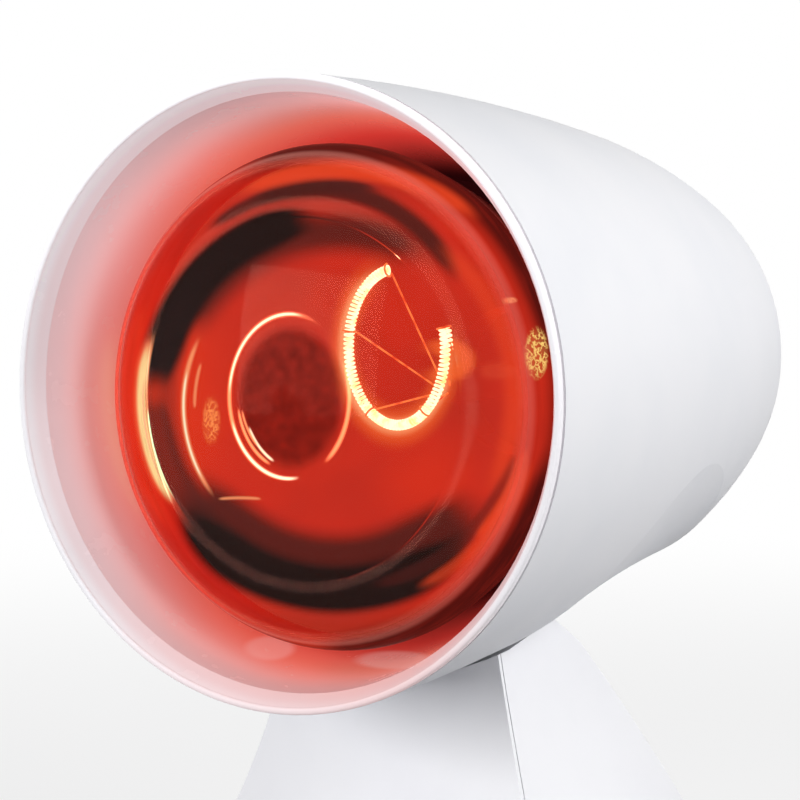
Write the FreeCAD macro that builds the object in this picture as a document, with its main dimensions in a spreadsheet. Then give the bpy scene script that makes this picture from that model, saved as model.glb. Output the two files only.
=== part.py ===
"""Infrared heat therapy lamp: a bullet-shaped shade with a reflector bulb, tilting on a flared foot.

Frame: +Z up, the lamp shines towards -Y. The origin is under the middle of the lamp, where it stands.
"""

import FreeCAD, Part
import math
import os

import Sketcher

SIZES = {
    # placing
    "head_height": 128.0,
    "rim_forward": 84.0,
    # head shell
    "rim_radius": 58.3,
    "head_length": 168.0,
    "side_radius": 800.0,
    "shoulder_radius": 260.0,
    "tail_tuck": 2.05,
    "rim_draft": 1.2,
    "axis_rise": 1.2,
    "shell_wall": 1.8,
    "relief_raise": 4.2,
    "relief_front": 38.0,
    "relief_front_radius": 61.0,
    "relief_rear": 121.0,
    "relief_rear_radius": 50.2,
    "relief_bow": 1.3,
    "vent_count": 5.0,
    "vent_width": 2.6,
    "vent_pitch": 5.6,
    "vent_reach": 17.0,
    # shade lip and inner shade
    "lip_depth": 1.2,
    "lip_width": 1.4,
    "lip_round": 0.6,
    "lip_gap": 1.0,
    "lip_gap_depth": 0.9,
    "shade_wall": 1.4,
    "shade_step": 4.2,
    "shade_rear_length": 30.0,
    "shade_bend_radius": 40.0,
    "shade_bow": 2.6,
    "shade_rear_lead": 4.0,
    "shade_mouth": 25.5,
    "shade_rear_bow": 2.2,
    "shade_collar": 6.0,
    "fit_gap": 0.15,
    "overcut": 1.0,
    # hinge
    "hinge_back": 62.0,
    "hinge_drop": 60.0,
    "tilt_range": 40.0,
    "pin_radius": 3.0,
    "pin_gap": 0.05,
    "pin_head_radius": 4.4,
    "pin_head": 2.0,
    "pin_chamfer": 0.8,
    "pin_end": 1.0,
    "bush_wall": 1.2,
    "bush_flange": 1.0,
    "bush_flange_radius": 5.6,
    "washer": 0.8,
    "washer_radius": 4.7,
    "nut": 3.0,
    "nut_radius": 4.7,
    "knuckle_half": 11.0,
    "knuckle_radius": 5.6,
    "knuckle_root": 9.0,
    "cheek": 4.5,
    "cheek_radius": 7.4,
    "cheek_depth": 30.0,
    "cheek_back": 18.0,
    "side_gap": 0.1,
    "slot_gap": 1.2,
    "spool_radius": 55.9,
    # tilt brake
    "brake_radius": 15.0,
    "brake_half": 4.0,
    "brake_margin": 11.0,
    "plunger_radius": 2.2,
    "plunger_nose": 1.2,
    "plunger_cone": 1.6,
    "plunger_length": 9.0,
    "plunger_stem": 1.1,
    "stem_length": 2.0,
    "block_gap": 1.0,
    "block_height": 15.0,
    "block_half": 6.0,
    "block_floor": 2.0,
    "spring_wire": 0.35,
    "spring_turns": 6.0,
    # foot
    "foot_centre": 69.5,
    "base_radius": 65.0,
    "band_bottom": 1.5,
    "band_top": 12.0,
    "foot_wall": 2.4,
    "saddle_gap": 0.7,
    "low_height": 33.0,
    "low_front_in": 28.5,
    "low_front_half": 37.0,
    "low_front_bow": 6.0,
    "low_side_bow": 6.5,
    "low_rear_in": 26.5,
    "low_rear_half": 36.0,
    "low_rear_bow": 15.0,
    "mid_drop": 9.0,
    "mid_front": 40.0,
    "mid_front_half": 28.0,
    "mid_front_bow": 1.8,
    "mid_side_bow": 1.8,
    "mid_rear": 91.0,
    "mid_rear_half": 27.5,
    "mid_rear_bow": 9.0,
    "top_rise": 18.0,
    "top_front": 40.5,
    "top_front_half": 23.0,
    "top_front_bow": 0.8,
    "top_side_bow": 0.6,
    "top_rear": 61.5,
    "top_rear_half": 23.5,
    "top_rear_bow": 4.0,
    "seam_behind": 0.9,
    "seam_gap": 0.25,
    # underside
    "plate_thickness": 2.5,
    "plate_gap": 0.3,
    "plate_bottom": 2.4,
    "ballast_half": 24.0,
    "ballast_length": 36.0,
    "ballast_bow": 5.0,
    "ballast_thickness": 5.0,
    "pad_radius": 6.5,
    "pad_height": 3.6,
    "pad_circle": 50.0,
    "boss_radius": 4.0,
    "boss_front_x": 24.0,
    "boss_front_in": 14.5,
    "boss_rear_x": 22.0,
    "boss_rear_in": 16.5,
    "screw_radius": 1.5,
    "screw_head_radius": 2.9,
    "screw_head": 1.8,
    "screw_edge": 0.9,
    "screw_length": 10.0,
    # cord inlet
    "gland_height": 9.0,
    "gland_bore": 3.2,
    "gland_wall": 1.0,
    "gland_flange": 5.6,
    "gland_flange_depth": 2.2,
    "gland_seat": 0.3,
    "gland_nose": 0.4,
    "gland_barb": 0.8,
    "gland_tail": 1.3,
    "notch_half": 7.0,
    "notch_reach": 7.0,
    # switch
    "switch_in": 12.1,
    "switch_height": 33.0,
    "switch_slope": 56.0,
    "switch_length": 21.0,
    "switch_width": 15.0,
    "switch_body_length": 19.0,
    "switch_body_width": 13.0,
    "switch_depth": 13.0,
    "switch_rim": 2.0,
    "switch_seat": 1.0,
    "rocker_length": 13.4,
    "rocker_width": 9.0,
    "rocker_gap": 0.4,
    "rocker_fall": 0.6,
    "rocker_side": 2.0,
    "rocker_belly": 3.0,
    "switch_clear": 20.0,
    "tab_length": 6.0,
    "tab_half": 2.4,
    "tab_offset": 5.0,
    "tab_thickness": 0.8,
    "rocker_depth": 6.0,
    "rocker_rise": 1.6,
    # bulb
    "bulb_drop": 1.5,
    "bulb_radius": 47.5,
    "bulb_front": 4.0,
    "bulb_widest": 21.0,
    "dome_edge": 34.0,
    "dome_edge_back": 8.6,
    "shoulder_bow": 4.4,
    "bulb_neck_radius": 17.0,
    "neck_length": 12.0,
    "bulb_back_bow": 4.0,
    "waist_length": 5.0,
    "glass_wall": 1.1,
    "glass_reach": 6.0,
    "mirror_wall": 0.25,
    "mirror_gap": 0.05,
    "mirror_inset": 3.0,
    "mirror_front_step": 1.0,
    "mirror_rear_step": 1.6,
    "mirror_flatter": 0.4,
    "cap_radius": 13.0,
    "cap_lead": 1.0,
    "cap_length": 22.0,
    "cap_wall": 0.5,
    "cap_bevel": 2.0,
    "insulator_length": 3.5,
    "tip_radius": 5.5,
    "tip_length": 2.0,
    "stem_radius": 3.4,
    "stem_front": 62.0,
    "flare_length": 13.0,
    "disc_lead": 8.0,
    "stem_bow": 1.5,
    "coil_back": 44.0,
    "coil_radius": 13.8,
    "coil_wire": 0.9,
    "coil_rise": 8.6,
    "coil_gap": 85.0,
    "coil_gap_middle": 57.5,
    "wire_radius": 0.35,
    "wire_root": 1.8,
    "wire_depth": 1.0,
    "wire_count": 5.0,
    # lampholder
    "socket_gap": 0.35,
    "sleeve_wall": 0.6,
    "holder_from_tail": 56.0,
    "holder_flange_radius": 25.0,
    "holder_flange": 5.0,
    "holder_radius": 19.5,
    "holder_length": 36.0,
    "carrier_radius": 38.5,
    "carrier_thickness": 1.5,
    "carrier_bolt_circle": 34.0,
    "holder_bolt_circle": 22.2,
    "tongue_thickness": 0.6,
    "tongue_gap": 0.1,
    "tongue_half": 2.5,
    "tongue_low": 9.0,
    "tongue_high": 4.0,
    "sleeve_setback": 1.5,
    "window_radius": 4.5,
    "window_circle": 31.0,
    "lug_width": 9.0,
    "lug_depth": 7.0,
    "lug_inner": 29.5,
}

UP = FreeCAD.Vector(0, 0, 1)
ALONG_X = FreeCAD.Vector(1, 0, 0)
FULL_TURN = 360.0
HEX_SIDES = 6
CARRIER_SCREWS = 3
HOLDER_SCREWS = 2
TO_TOP = 90.0


class Size:
    """A number with the sheet expression that gives it."""

    def __init__(self, value, text):
        self.value = float(value)
        self.text = text

    def __add__(self, other):
        other = size(other)
        return Size(self.value + other.value, f"({self.text} + {other.text})")

    def __sub__(self, other):
        other = size(other)
        return Size(self.value - other.value, f"({self.text} - {other.text})")

    def __mul__(self, other):
        other = size(other)
        return Size(self.value * other.value, f"({self.text} * {other.text})")

    def __truediv__(self, other):
        other = size(other)
        return Size(self.value / other.value, f"({self.text} / {other.text})")

    def __neg__(self):
        return Size(-self.value, f"(0 - {self.text})")

    def __radd__(self, other):
        return size(other) + self

    def __rsub__(self, other):
        return size(other) - self

    def __rmul__(self, other):
        return size(other) * self


def size(number):
    return number if isinstance(number, Size) else Size(number, repr(float(number)))


def root(number):
    return Size(math.sqrt(number.value), f"sqrt({number.text})")


def sine(angle):
    return Size(math.sin(math.radians(angle.value)), f"sin({angle.text})")


def cosine(angle):
    return Size(math.cos(math.radians(angle.value)), f"cos({angle.text})")


def dome(base, height):
    """How far the side of a dome with this base radius and height stands off its chord."""
    chord_squared = base * base + height * height
    radius = chord_squared / height / 2
    return radius - root(radius * radius - chord_squared / 4)


class Sheet:
    """The document's spreadsheet; each driving dimension is read from it by name."""

    def __init__(self, doc):
        self.page = doc.addObject("Spreadsheet::Sheet", "Sizes")
        for row, (alias, number) in enumerate(SIZES.items(), start=1):
            self.page.set(f"A{row}", alias.replace("_", " "))
            self.page.set(f"B{row}", str(number))
            self.page.setAlias(f"B{row}", alias)
        doc.recompute()

    def __getattr__(self, alias):
        return Size(getattr(self.page, alias), f"Sizes.{alias}")


DOC = FreeCAD.newDocument("lamp")
S = Sheet(DOC)
NODES = []


# ---------------------------------------------------------------- drawing helpers


def vector(x, y, z=0.0):
    return FreeCAD.Vector(size(x).value, size(y).value, size(z).value)


def place(item, x=0.0, y=0.0, z=0.0, axis=None, turn=None):
    """Places an object in the lamp's frame, its position and turn bound to the sheet."""
    angle = size(turn).value if turn is not None else 0.0
    item.Placement = FreeCAD.Placement(vector(x, y, z), FreeCAD.Rotation(axis or UP, angle))
    for name, number in (("x", x), ("y", y), ("z", z)):
        item.setExpression(f"Placement.Base.{name}", size(number).text)
    if turn is not None:
        item.setExpression("Placement.Rotation.Angle", size(turn).text)
    return item


def new_body(name):
    return DOC.addObject("PartDesign::Body", name)


def keep(item, node):
    """Names an object as one of the lamp's pieces."""
    item.Label = node
    NODES.append(item)
    return item


def sketch_on(body, role, shift=0.0, turn=None):
    """A sketch on one of the body's origin planes, shifted along its normal and turned in its own plane."""
    sketch = body.newObject("Sketcher::SketchObject", f"{body.Name}_sketch")
    plane = next(f for f in body.Origin.OriginFeatures if f.Role == role)
    sketch.AttachmentSupport = (plane, [""])
    sketch.MapMode = "FlatFace"
    angle = size(turn).value if turn is not None else 0.0
    sketch.AttachmentOffset = FreeCAD.Placement(vector(0, 0, shift), FreeCAD.Rotation(UP, angle))
    sketch.setExpression("AttachmentOffset.Base.z", size(shift).text)
    if turn is not None:
        sketch.setExpression("AttachmentOffset.Rotation.Angle", size(turn).text)
    return sketch


def bind(sketch, kind, *where):
    """Adds a dimension to a sketch; its last argument is the size it is bound to."""
    number = size(where[-1])
    index = sketch.addConstraint(Sketcher.Constraint(kind, *where[:-1], number.value))
    sketch.setExpression(f"Constraints[{index}]", number.text)


def draw_outline(sketch, corners, bows=None):
    """Draws a closed outline. A side in bows is an arc that stands off its chord by that much."""
    bows = bows or {}
    first = sketch.GeometryCount
    count = len(corners)
    for i, (start, end) in enumerate(zip(corners, corners[1:] + corners[:1])):
        a, b = vector(*start), vector(*end)
        if i in bows:
            side = (b - a).cross(UP).normalize()
            sketch.addGeometry(Part.Arc(a, (a + b) * 0.5 + side * size(bows[i]).value, b), False)
        else:
            sketch.addGeometry(Part.LineSegment(a, b), False)
    starts, ends = [], []
    for i in range(count):
        turned = i in bows and size(bows[i]).value < 0
        starts.append(2 if turned else 1)
        ends.append(1 if turned else 2)
    for i in range(count):
        after = (i + 1) % count
        meeting = (first + i, ends[i], first + after, starts[after])
        sketch.addConstraint(Sketcher.Constraint("Coincident", *meeting))
    for i, (x, y) in enumerate(corners):
        bind(sketch, "DistanceX", first + i, starts[i], x)
        bind(sketch, "DistanceY", first + i, starts[i], y)
    for i, bow in bows.items():
        (ax, ay), (bx, by) = corners[i], corners[(i + 1) % count]
        across, up = size(bx) - ax, size(by) - ay
        chord = root(across * across + up * up)
        to_centre = (size(bow) - chord * chord / 4 / bow) / 2
        if abs(up.value) > abs(across.value):
            bind(sketch, "DistanceX", first + i, 3, (size(ax) + bx) / 2 + up / chord * to_centre)
        else:
            bind(sketch, "DistanceY", first + i, 3, (size(ay) + by) / 2 - across / chord * to_centre)
    return sketch


def draw_circle(sketch, x, y, radius):
    index = sketch.addGeometry(Part.Circle(vector(x, y), UP, size(radius).value), False)
    bind(sketch, "DistanceX", index, 3, x)
    bind(sketch, "DistanceY", index, 3, y)
    bind(sketch, "Radius", index, radius)
    return sketch


def box_corners(x0, x1, y0, y1):
    return [(x0, y0), (x1, y0), (x1, y1), (x0, y1)]


def feature(body, kind, sketch, **settings):
    item = body.newObject(f"PartDesign::{kind}", f"{body.Name}_{kind}")
    item.Profile = sketch
    for name, number in settings.items():
        if isinstance(number, Size):
            setattr(item, name, number.value)
            item.setExpression(name, number.text)
        else:
            setattr(item, name, number)
    sketch.Visibility = False
    return item


def revolve(body, sketch, axis="H_Axis", kind="Revolution", angle=FULL_TURN, **settings):
    return feature(body, kind, sketch, ReferenceAxis=(sketch, [axis]), Angle=size(angle), **settings)


def pad(body, sketch, length, **settings):
    return feature(body, "Pad", sketch, Length=size(length), **settings)


def pocket(body, sketch, length, **settings):
    return feature(body, "Pocket", sketch, Length=size(length), **settings)


def repeat_round(body, item, sketch, axis, count):
    """Repeats a feature round an axis of its sketch."""
    pattern = body.newObject("PartDesign::PolarPattern", f"{body.Name}_round")
    pattern.Originals = [item]
    pattern.Axis = (sketch, [axis])
    pattern.Angle = FULL_TURN
    pattern.Occurrences = int(size(count).value)
    body.Tip = pattern
    return pattern


def boolean(kind, name, base, tool):
    item = DOC.addObject(f"Part::{kind}", name)
    item.Base = base
    item.Tool = tool
    return item


def fuse_all(name, items):
    item = DOC.addObject("Part::MultiFuse", name)
    item.Shapes = items
    item.Refine = False
    return item


def cylinder(name, radius, height, x=0.0, y=0.0, z=0.0, axis=None, turn=None):
    item = DOC.addObject("Part::Cylinder", name)
    for field, number in (("Radius", radius), ("Height", height)):
        setattr(item, field, size(number).value)
        item.setExpression(field, size(number).text)
    return place(item, x, y, z, axis, turn)


def box(name, length, width, height, x=0.0, y=0.0, z=0.0, axis=None, turn=None):
    item = DOC.addObject("Part::Box", name)
    for field, number in (("Length", length), ("Width", width), ("Height", height)):
        setattr(item, field, size(number).value)
        item.setExpression(field, size(number).text)
    return place(item, x, y, z, axis, turn)


# ---------------------------------------------------------------- places that several pieces share

HEAD_Y = -S.rim_forward
HEAD_Z = S.head_height
BULB_Z = S.head_height - S.bulb_drop
HINGE_Y = S.hinge_back - S.rim_forward
HINGE_Z = S.head_height - S.hinge_drop
CHEEK_FACE = S.knuckle_half + S.bush_flange + 2 * S.side_gap
CHEEK_OUT = CHEEK_FACE + S.cheek
BUSH_RADIUS = S.pin_radius + S.pin_gap + S.bush_wall
FOOT_Y = S.foot_centre - S.rim_forward
SHELL_FRONT = S.lip_depth + S.lip_gap
HOLDER_FRONT = S.head_length - S.holder_from_tail
CAP_FRONT = HOLDER_FRONT - S.cap_lead
CAP_END = CAP_FRONT + S.cap_length
BULB_WAIST = CAP_FRONT - S.waist_length
BULB_NECK = BULB_WAIST - S.neck_length
SHADE_BACK = BULB_NECK - S.shade_rear_lead
SHADE_BEND = SHADE_BACK - S.shade_rear_length
STEM_DISC = CAP_FRONT - S.disc_lead
STEM_FLARE = STEM_DISC - S.flare_length
BASE_FRONT = S.foot_centre - S.base_radius
BASE_REAR = S.foot_centre + S.base_radius
LOW_FRONT = BASE_FRONT + S.low_front_in
LOW_REAR = BASE_REAR - S.low_rear_in
MID_HEIGHT = HINGE_Z - S.mid_drop
TOP_HEIGHT = HINGE_Z + S.top_rise
BOSS_FRONT = BASE_FRONT + S.boss_front_in
BOSS_REAR = BASE_REAR - S.boss_rear_in
PLATE_TOP = S.plate_bottom + S.plate_thickness


def shell_radius_at(back):
    """Outer radius of the shell's side a given way behind the rim."""
    along = back + S.side_radius * sine(S.rim_draft)
    middle = S.rim_radius - S.side_radius * cosine(S.rim_draft)
    return middle + root(S.side_radius * S.side_radius - along * along)


# ---------------------------------------------------------------- head shell


def circles_meet(first, first_radius, second, second_radius):
    """The upper of the two points where two circles cross."""
    gap = (second - first).Length
    along = (first_radius**2 - second_radius**2 + gap**2) / (2 * gap)
    across = math.sqrt(first_radius**2 - along**2)
    way = (second - first).normalize()
    points = [first + way * along + side * across for side in (way.cross(UP), UP.cross(way))]
    return min(points, key=lambda point: abs(point.y))


SIDE_X = -S.side_radius * sine(S.rim_draft)
SIDE_Y = S.rim_radius - S.side_radius * cosine(S.rim_draft)


def tail_end_radius():
    """Radius of the tail's arc that leaves its circle a set way inside the side's circle."""
    reach = S.head_length - SIDE_X
    inner = S.side_radius - S.tail_tuck
    return (inner * inner - reach * reach - SIDE_Y * SIDE_Y) / (inner - reach) / 2


TAIL_RADIUS = tail_end_radius()


def draw_bullet(sketch, inset, front):
    """Half the bullet's outline: side, shoulder and tail arcs, each tangent to the next, down to the axis."""
    side_radius, shoulder_radius, tail_radius = (
        S.side_radius - inset,
        S.shoulder_radius - inset,
        TAIL_RADIUS - inset,
    )
    tail_x = S.head_length - TAIL_RADIUS
    side, tail = vector(SIDE_X, SIDE_Y), vector(tail_x, 0)
    shoulder = circles_meet(
        side,
        S.side_radius.value - S.shoulder_radius.value,
        tail,
        S.shoulder_radius.value - TAIL_RADIUS.value,
    )
    to_shoulder = (shoulder - side).normalize()
    to_tail = (tail - shoulder).normalize()
    front_rise = math.sqrt(side_radius.value**2 - (size(front).value - side.x) ** 2)
    start = FreeCAD.Vector(size(front).value, side.y + front_rise, 0)
    bend = side + to_shoulder * side_radius.value
    turn = shoulder + to_tail * shoulder_radius.value
    end = tail + FreeCAD.Vector(tail_radius.value, 0, 0)
    foot = FreeCAD.Vector(size(front).value, 0, 0)

    def arc(centre, radius, a, b):
        angle_a = math.atan2(a.y - centre.y, a.x - centre.x)
        angle_b = math.atan2(b.y - centre.y, b.x - centre.x)
        return Part.ArcOfCircle(Part.Circle(centre, UP, radius), angle_b, angle_a)

    sketch.addGeometry(arc(side, side_radius.value, start, bend), False)
    sketch.addGeometry(arc(shoulder, shoulder_radius.value, bend, turn), False)
    sketch.addGeometry(arc(tail, tail_radius.value, turn, end), False)
    sketch.addGeometry(Part.LineSegment(end, foot), False)
    sketch.addGeometry(Part.LineSegment(foot, start), False)
    rule = Sketcher.Constraint
    sketch.addConstraint(rule("Tangent", 0, 1, 1, 2))
    sketch.addConstraint(rule("Tangent", 1, 1, 2, 2))
    sketch.addConstraint(rule("Coincident", 2, 1, 3, 1))
    sketch.addConstraint(rule("Coincident", 3, 2, 4, 1))
    sketch.addConstraint(rule("Coincident", 4, 2, 0, 2))
    bind(sketch, "DistanceX", 0, 3, SIDE_X)
    bind(sketch, "DistanceY", 0, 3, SIDE_Y)
    bind(sketch, "Radius", 0, side_radius)
    bind(sketch, "Radius", 1, shoulder_radius)
    bind(sketch, "DistanceX", 2, 3, tail_x)
    bind(sketch, "DistanceY", 2, 3, 0.0)
    bind(sketch, "Radius", 2, tail_radius)
    bind(sketch, "DistanceY", 3, 1, 0.0)
    bind(sketch, "DistanceX", 4, 1, front)
    bind(sketch, "DistanceY", 4, 1, 0.0)
    bind(sketch, "DistanceX", 0, 2, front)
    return sketch


def bullet(name, inset, front, trim):
    """The bullet as a solid, its axis rising to the rear, its mouth cut square."""
    body = new_body(name)
    revolve(body, draw_bullet(sketch_on(body, "YZ_Plane", turn=S.axis_rise), inset, front))
    mouth = draw_circle(sketch_on(body, "XZ_Plane", -size(trim)), 0.0, 0.0, 2 * S.rim_radius)
    pocket(body, mouth, 2 * S.rim_radius, Reversed=True)
    return place(body, 0.0, HEAD_Y, HEAD_Z)


def relief(name, inset):
    """What is taken off the underside behind the hinge: a waisted ring about a raised axis."""
    body = new_body(name)
    outline = [
        (S.relief_front - inset, S.relief_front_radius - inset),
        (S.relief_rear, S.relief_rear_radius - inset),
        (S.relief_rear, 2 * S.rim_radius),
        (S.relief_front - inset, 2 * S.rim_radius),
    ]
    sketch = sketch_on(body, "YZ_Plane", turn=S.axis_rise)
    revolve(body, draw_outline(sketch, outline, {0: S.relief_bow}))
    return place(body, 0.0, HEAD_Y, HEAD_Z + S.relief_raise)


def knuckle():
    """The hinge block under the shell, with the round sector that the brake presses on in its middle."""
    body = new_body("knuckle")
    top = S.hinge_drop - shell_radius_at(S.hinge_back) + S.knuckle_root
    side = draw_outline(
        sketch_on(body, "YZ_Plane"),
        [
            (-S.knuckle_radius, size(0.0)),
            (S.knuckle_radius, size(0.0)),
            (S.knuckle_radius, top),
            (-S.knuckle_radius, top),
        ],
        {0: S.knuckle_radius},
    )
    pad(body, side, 2 * S.knuckle_half, Midplane=True)
    last = S.tilt_range + S.brake_margin
    reach = S.brake_radius
    sector = draw_outline(
        sketch_on(body, "YZ_Plane"),
        [
            (size(0.0), size(0.0)),
            (-reach * sine(S.brake_margin), -reach * cosine(S.brake_margin)),
            (reach * sine(last), -reach * cosine(last)),
        ],
        {1: reach * (1 - cosine((last + S.brake_margin) / 2))},
    )
    pad(body, sector, 2 * S.brake_half, Midplane=True)
    bore = draw_circle(sketch_on(body, "YZ_Plane"), 0.0, 0.0, S.pin_radius + S.pin_gap)
    pocket(body, bore, 4 * S.knuckle_half, Midplane=True)
    return place(body, 0.0, HINGE_Y, HINGE_Z)


def carrier_lugs():
    """Three lugs on the inside of the shell that carry the lampholder plate."""
    body = new_body("carrier_lugs")
    start = HOLDER_FRONT + S.holder_flange + S.carrier_thickness
    sketch = sketch_on(body, "XZ_Plane", -start)
    draw_outline(sketch, box_corners(-S.lug_width / 2, S.lug_width / 2, S.lug_inner, S.rim_radius))
    lug = pad(body, sketch, S.lug_depth, Reversed=True)
    repeat_round(body, lug, sketch, "N_Axis", CARRIER_SCREWS)
    return place(body, 0.0, HEAD_Y, BULB_Z)


def vents():
    """Upright slots through the tail, inside a circle, that let the warm air out."""
    body = new_body("vents")
    sketch = sketch_on(body, "XZ_Plane", -S.head_length - TAIL_RADIUS)
    first = -(S.vent_count - 1) / 2
    half = S.vent_width / 2
    for slot in range(int(S.vent_count.value)):
        middle = (first + slot) * S.vent_pitch
        reach = root(S.vent_reach * S.vent_reach - middle * middle)
        sides = box_corners(middle - half, middle + half, -reach, reach)
        draw_outline(sketch, sides, {0: half, 2: half})
    pad(body, sketch, 2 * TAIL_RADIUS)
    return place(body, 0.0, HEAD_Y, HEAD_Z + S.head_length * sine(S.axis_rise))


def head_shell():
    outside = boolean("Cut", "shell_form", bullet("shell_skin", size(0.0), -S.lip_depth, SHELL_FRONT),
                      relief("relief_outside", size(0.0)))
    inside = boolean("Cut", "shell_cavity", bullet("cavity_skin", S.shell_wall, -S.lip_depth, size(0.0)),
                     relief("relief_inside", S.shell_wall))
    lugs = boolean("Common", "lugs_inside", carrier_lugs(), outside)
    skin = boolean("Cut", "shell_walls", outside, inside)
    hinge = boolean("Cut", "knuckle_outside", knuckle(), inside)
    whole = fuse_all("shell_whole", [skin, lugs, hinge])
    bored = boolean("Cut", "shell_bored", whole, screw_holes("carrier_holes", carrier_screw_places()))
    keep(boolean("Cut", "shell_vented", bored, vents()), "head_shell")


# ---------------------------------------------------------------- shade inside the shell


def inner_shade():
    """The bright inner shade: a rounded lip round the mouth, a bowl, and a collar round the lampholder."""
    body = new_body("inner_shade_body")
    wall = S.shade_wall
    lip_inner = S.rim_radius - S.lip_width
    spigot = shell_radius_at(S.shade_step) - S.shell_wall - S.fit_gap
    groove = S.rim_radius - S.lip_gap_depth
    collar_end = SHADE_BACK + S.shade_collar
    rear = S.shade_mouth
    draw = sketch_on(body, "YZ_Plane")
    draw_outline(
        draw,
        [
            (size(0.0), S.rim_radius - S.lip_round),
            (size(0.0), lip_inner + S.lip_round),
            (S.lip_round, lip_inner),
            (S.shade_step, spigot - wall),
            (SHADE_BEND, S.shade_bend_radius),
            (SHADE_BACK, rear),
            (collar_end, rear),
            (collar_end, rear + wall),
            (SHADE_BACK, rear + wall),
            (SHADE_BEND, S.shade_bend_radius + wall),
            (S.shade_step + wall, spigot),
            (SHELL_FRONT, spigot),
            (SHELL_FRONT, groove),
            (S.lip_depth, groove),
            (S.lip_depth, S.rim_radius),
            (S.lip_round, S.rim_radius),
        ],
        {
            1: dome(S.lip_round, S.lip_round),
            3: -S.shade_bow,
            4: -S.shade_rear_bow,
            8: S.shade_rear_bow,
            9: S.shade_bow,
            15: dome(S.lip_round, S.lip_round),
        },
    )
    revolve(body, draw)
    keep(place(body, 0.0, HEAD_Y, HEAD_Z), "inner_shade")


# ---------------------------------------------------------------- screws


def screw_holes(name, places):
    """Clearance cores for screws: each place is x, y, z, and the way the screw points."""
    cores = []
    for number, (x, y, z, axis, turn) in enumerate(places):
        cores.append(cylinder(f"{name}_{number}", S.screw_radius, S.screw_length, x, y, z, axis, turn))
    return fuse_all(name, cores)


def screws(node, places):
    """Pan-head screws, one solid at each place."""
    items = []
    for number, (x, y, z, axis, turn) in enumerate(places):
        body = new_body(f"{node}_{number}")
        outline = [
            (size(0.0), -S.screw_head),
            (S.screw_head_radius, -S.screw_edge),
            (S.screw_head_radius, size(0.0)),
            (S.screw_radius, size(0.0)),
            (S.screw_radius, S.screw_length - S.screw_radius),
            (size(0.0), S.screw_length),
        ]
        bows = {0: dome(S.screw_head_radius, S.screw_head - S.screw_edge)}
        sketch = draw_outline(sketch_on(body, "XZ_Plane"), outline, bows)
        revolve(body, sketch, "V_Axis")
        items.append(place(body, x, y, z, axis, turn))
    group = DOC.addObject("Part::Compound", node)
    group.Links = items
    keep(group, node)


BACKWARDS = FreeCAD.Vector(1, 0, 0)


def round_places(circle, count, first_turn, y, z_middle):
    """Places on a circle round the bulb's axis, for screws that point to the rear."""
    places = []
    for number in range(count):
        turn = size(first_turn + number * FULL_TURN / count)
        places.append((circle * cosine(turn), y, z_middle + circle * sine(turn), BACKWARDS, -90.0))
    return places


def carrier_screw_places():
    seat = HEAD_Y + HOLDER_FRONT + S.holder_flange
    return round_places(S.carrier_bolt_circle, CARRIER_SCREWS, TO_TOP, seat, BULB_Z)


def holder_screw_places():
    return round_places(S.holder_bolt_circle, HOLDER_SCREWS, 0.0, HEAD_Y + HOLDER_FRONT, BULB_Z)


# ---------------------------------------------------------------- lampholder


def lampholder():
    """Ceramic socket: a flange against the carrier plate and a barrel through it."""
    body = new_body("lampholder_body")
    front, seat = HOLDER_FRONT, HOLDER_FRONT + S.holder_flange
    end = front + S.holder_length
    well = S.cap_radius + S.socket_gap + S.sleeve_wall
    floor = CAP_END + S.insulator_length + S.tip_length + 2 * S.tongue_thickness
    outline = [
        (front, well),
        (front, S.holder_flange_radius),
        (seat, S.holder_flange_radius),
        (seat, S.holder_radius),
        (end, S.holder_radius),
        (end, size(0.0)),
        (floor, size(0.0)),
        (floor, well),
    ]
    revolve(body, draw_outline(sketch_on(body, "YZ_Plane"), outline))
    place(body, 0.0, HEAD_Y, BULB_Z)
    holes = screw_holes("holder_holes", holder_screw_places())
    keep(boolean("Cut", "lampholder_bored", body, holes), "lampholder")


def screw_sleeve():
    """Brass sleeve that the cap screws into, lining the well."""
    body = new_body("screw_sleeve_body")
    inner = S.cap_radius + S.socket_gap
    outline = [
        (HOLDER_FRONT + S.sleeve_setback, inner),
        (CAP_END, inner),
        (CAP_END, inner + S.sleeve_wall),
        (HOLDER_FRONT + S.sleeve_setback, inner + S.sleeve_wall),
    ]
    revolve(body, draw_outline(sketch_on(body, "YZ_Plane"), outline))
    keep(place(body, 0.0, HEAD_Y, BULB_Z), "socket_sleeve")


def centre_tongue():
    """Springy centre contact at the bottom of the well."""
    back = CAP_END + S.insulator_length + S.tip_length + S.tongue_gap
    body = new_body("centre_tongue_body")
    half = S.tongue_half
    sides = box_corners(-half, half, -S.tongue_low, S.tongue_high)
    sketch = draw_outline(sketch_on(body, "XZ_Plane", -back), sides, {0: half / 2, 2: half / 2})
    pad(body, sketch, S.tongue_thickness, Reversed=True)
    keep(place(body, 0.0, HEAD_Y, BULB_Z), "centre_contact")


def carrier_plate():
    """Steel plate with air windows that holds the lampholder on the shell's lugs."""
    body = new_body("carrier_plate_body")
    seat = HOLDER_FRONT + S.holder_flange
    face = sketch_on(body, "XZ_Plane", -seat)
    draw_circle(face, 0.0, 0.0, S.carrier_radius)
    draw_circle(face, 0.0, 0.0, S.holder_radius + S.fit_gap)
    pad(body, face, S.carrier_thickness, Reversed=True)
    window = sketch_on(body, "XZ_Plane", -seat)
    draw_circle(window, 0.0, -S.window_circle, S.window_radius)
    hole = pocket(body, window, S.carrier_thickness, Reversed=False)
    repeat_round(body, hole, window, "N_Axis", 3)
    place(body, 0.0, HEAD_Y, BULB_Z)
    holes = screw_holes("plate_holes", carrier_screw_places() + holder_screw_places())
    keep(boolean("Cut", "carrier_plate_bored", body, holes), "lampholder_plate")


# ---------------------------------------------------------------- bulb


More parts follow.
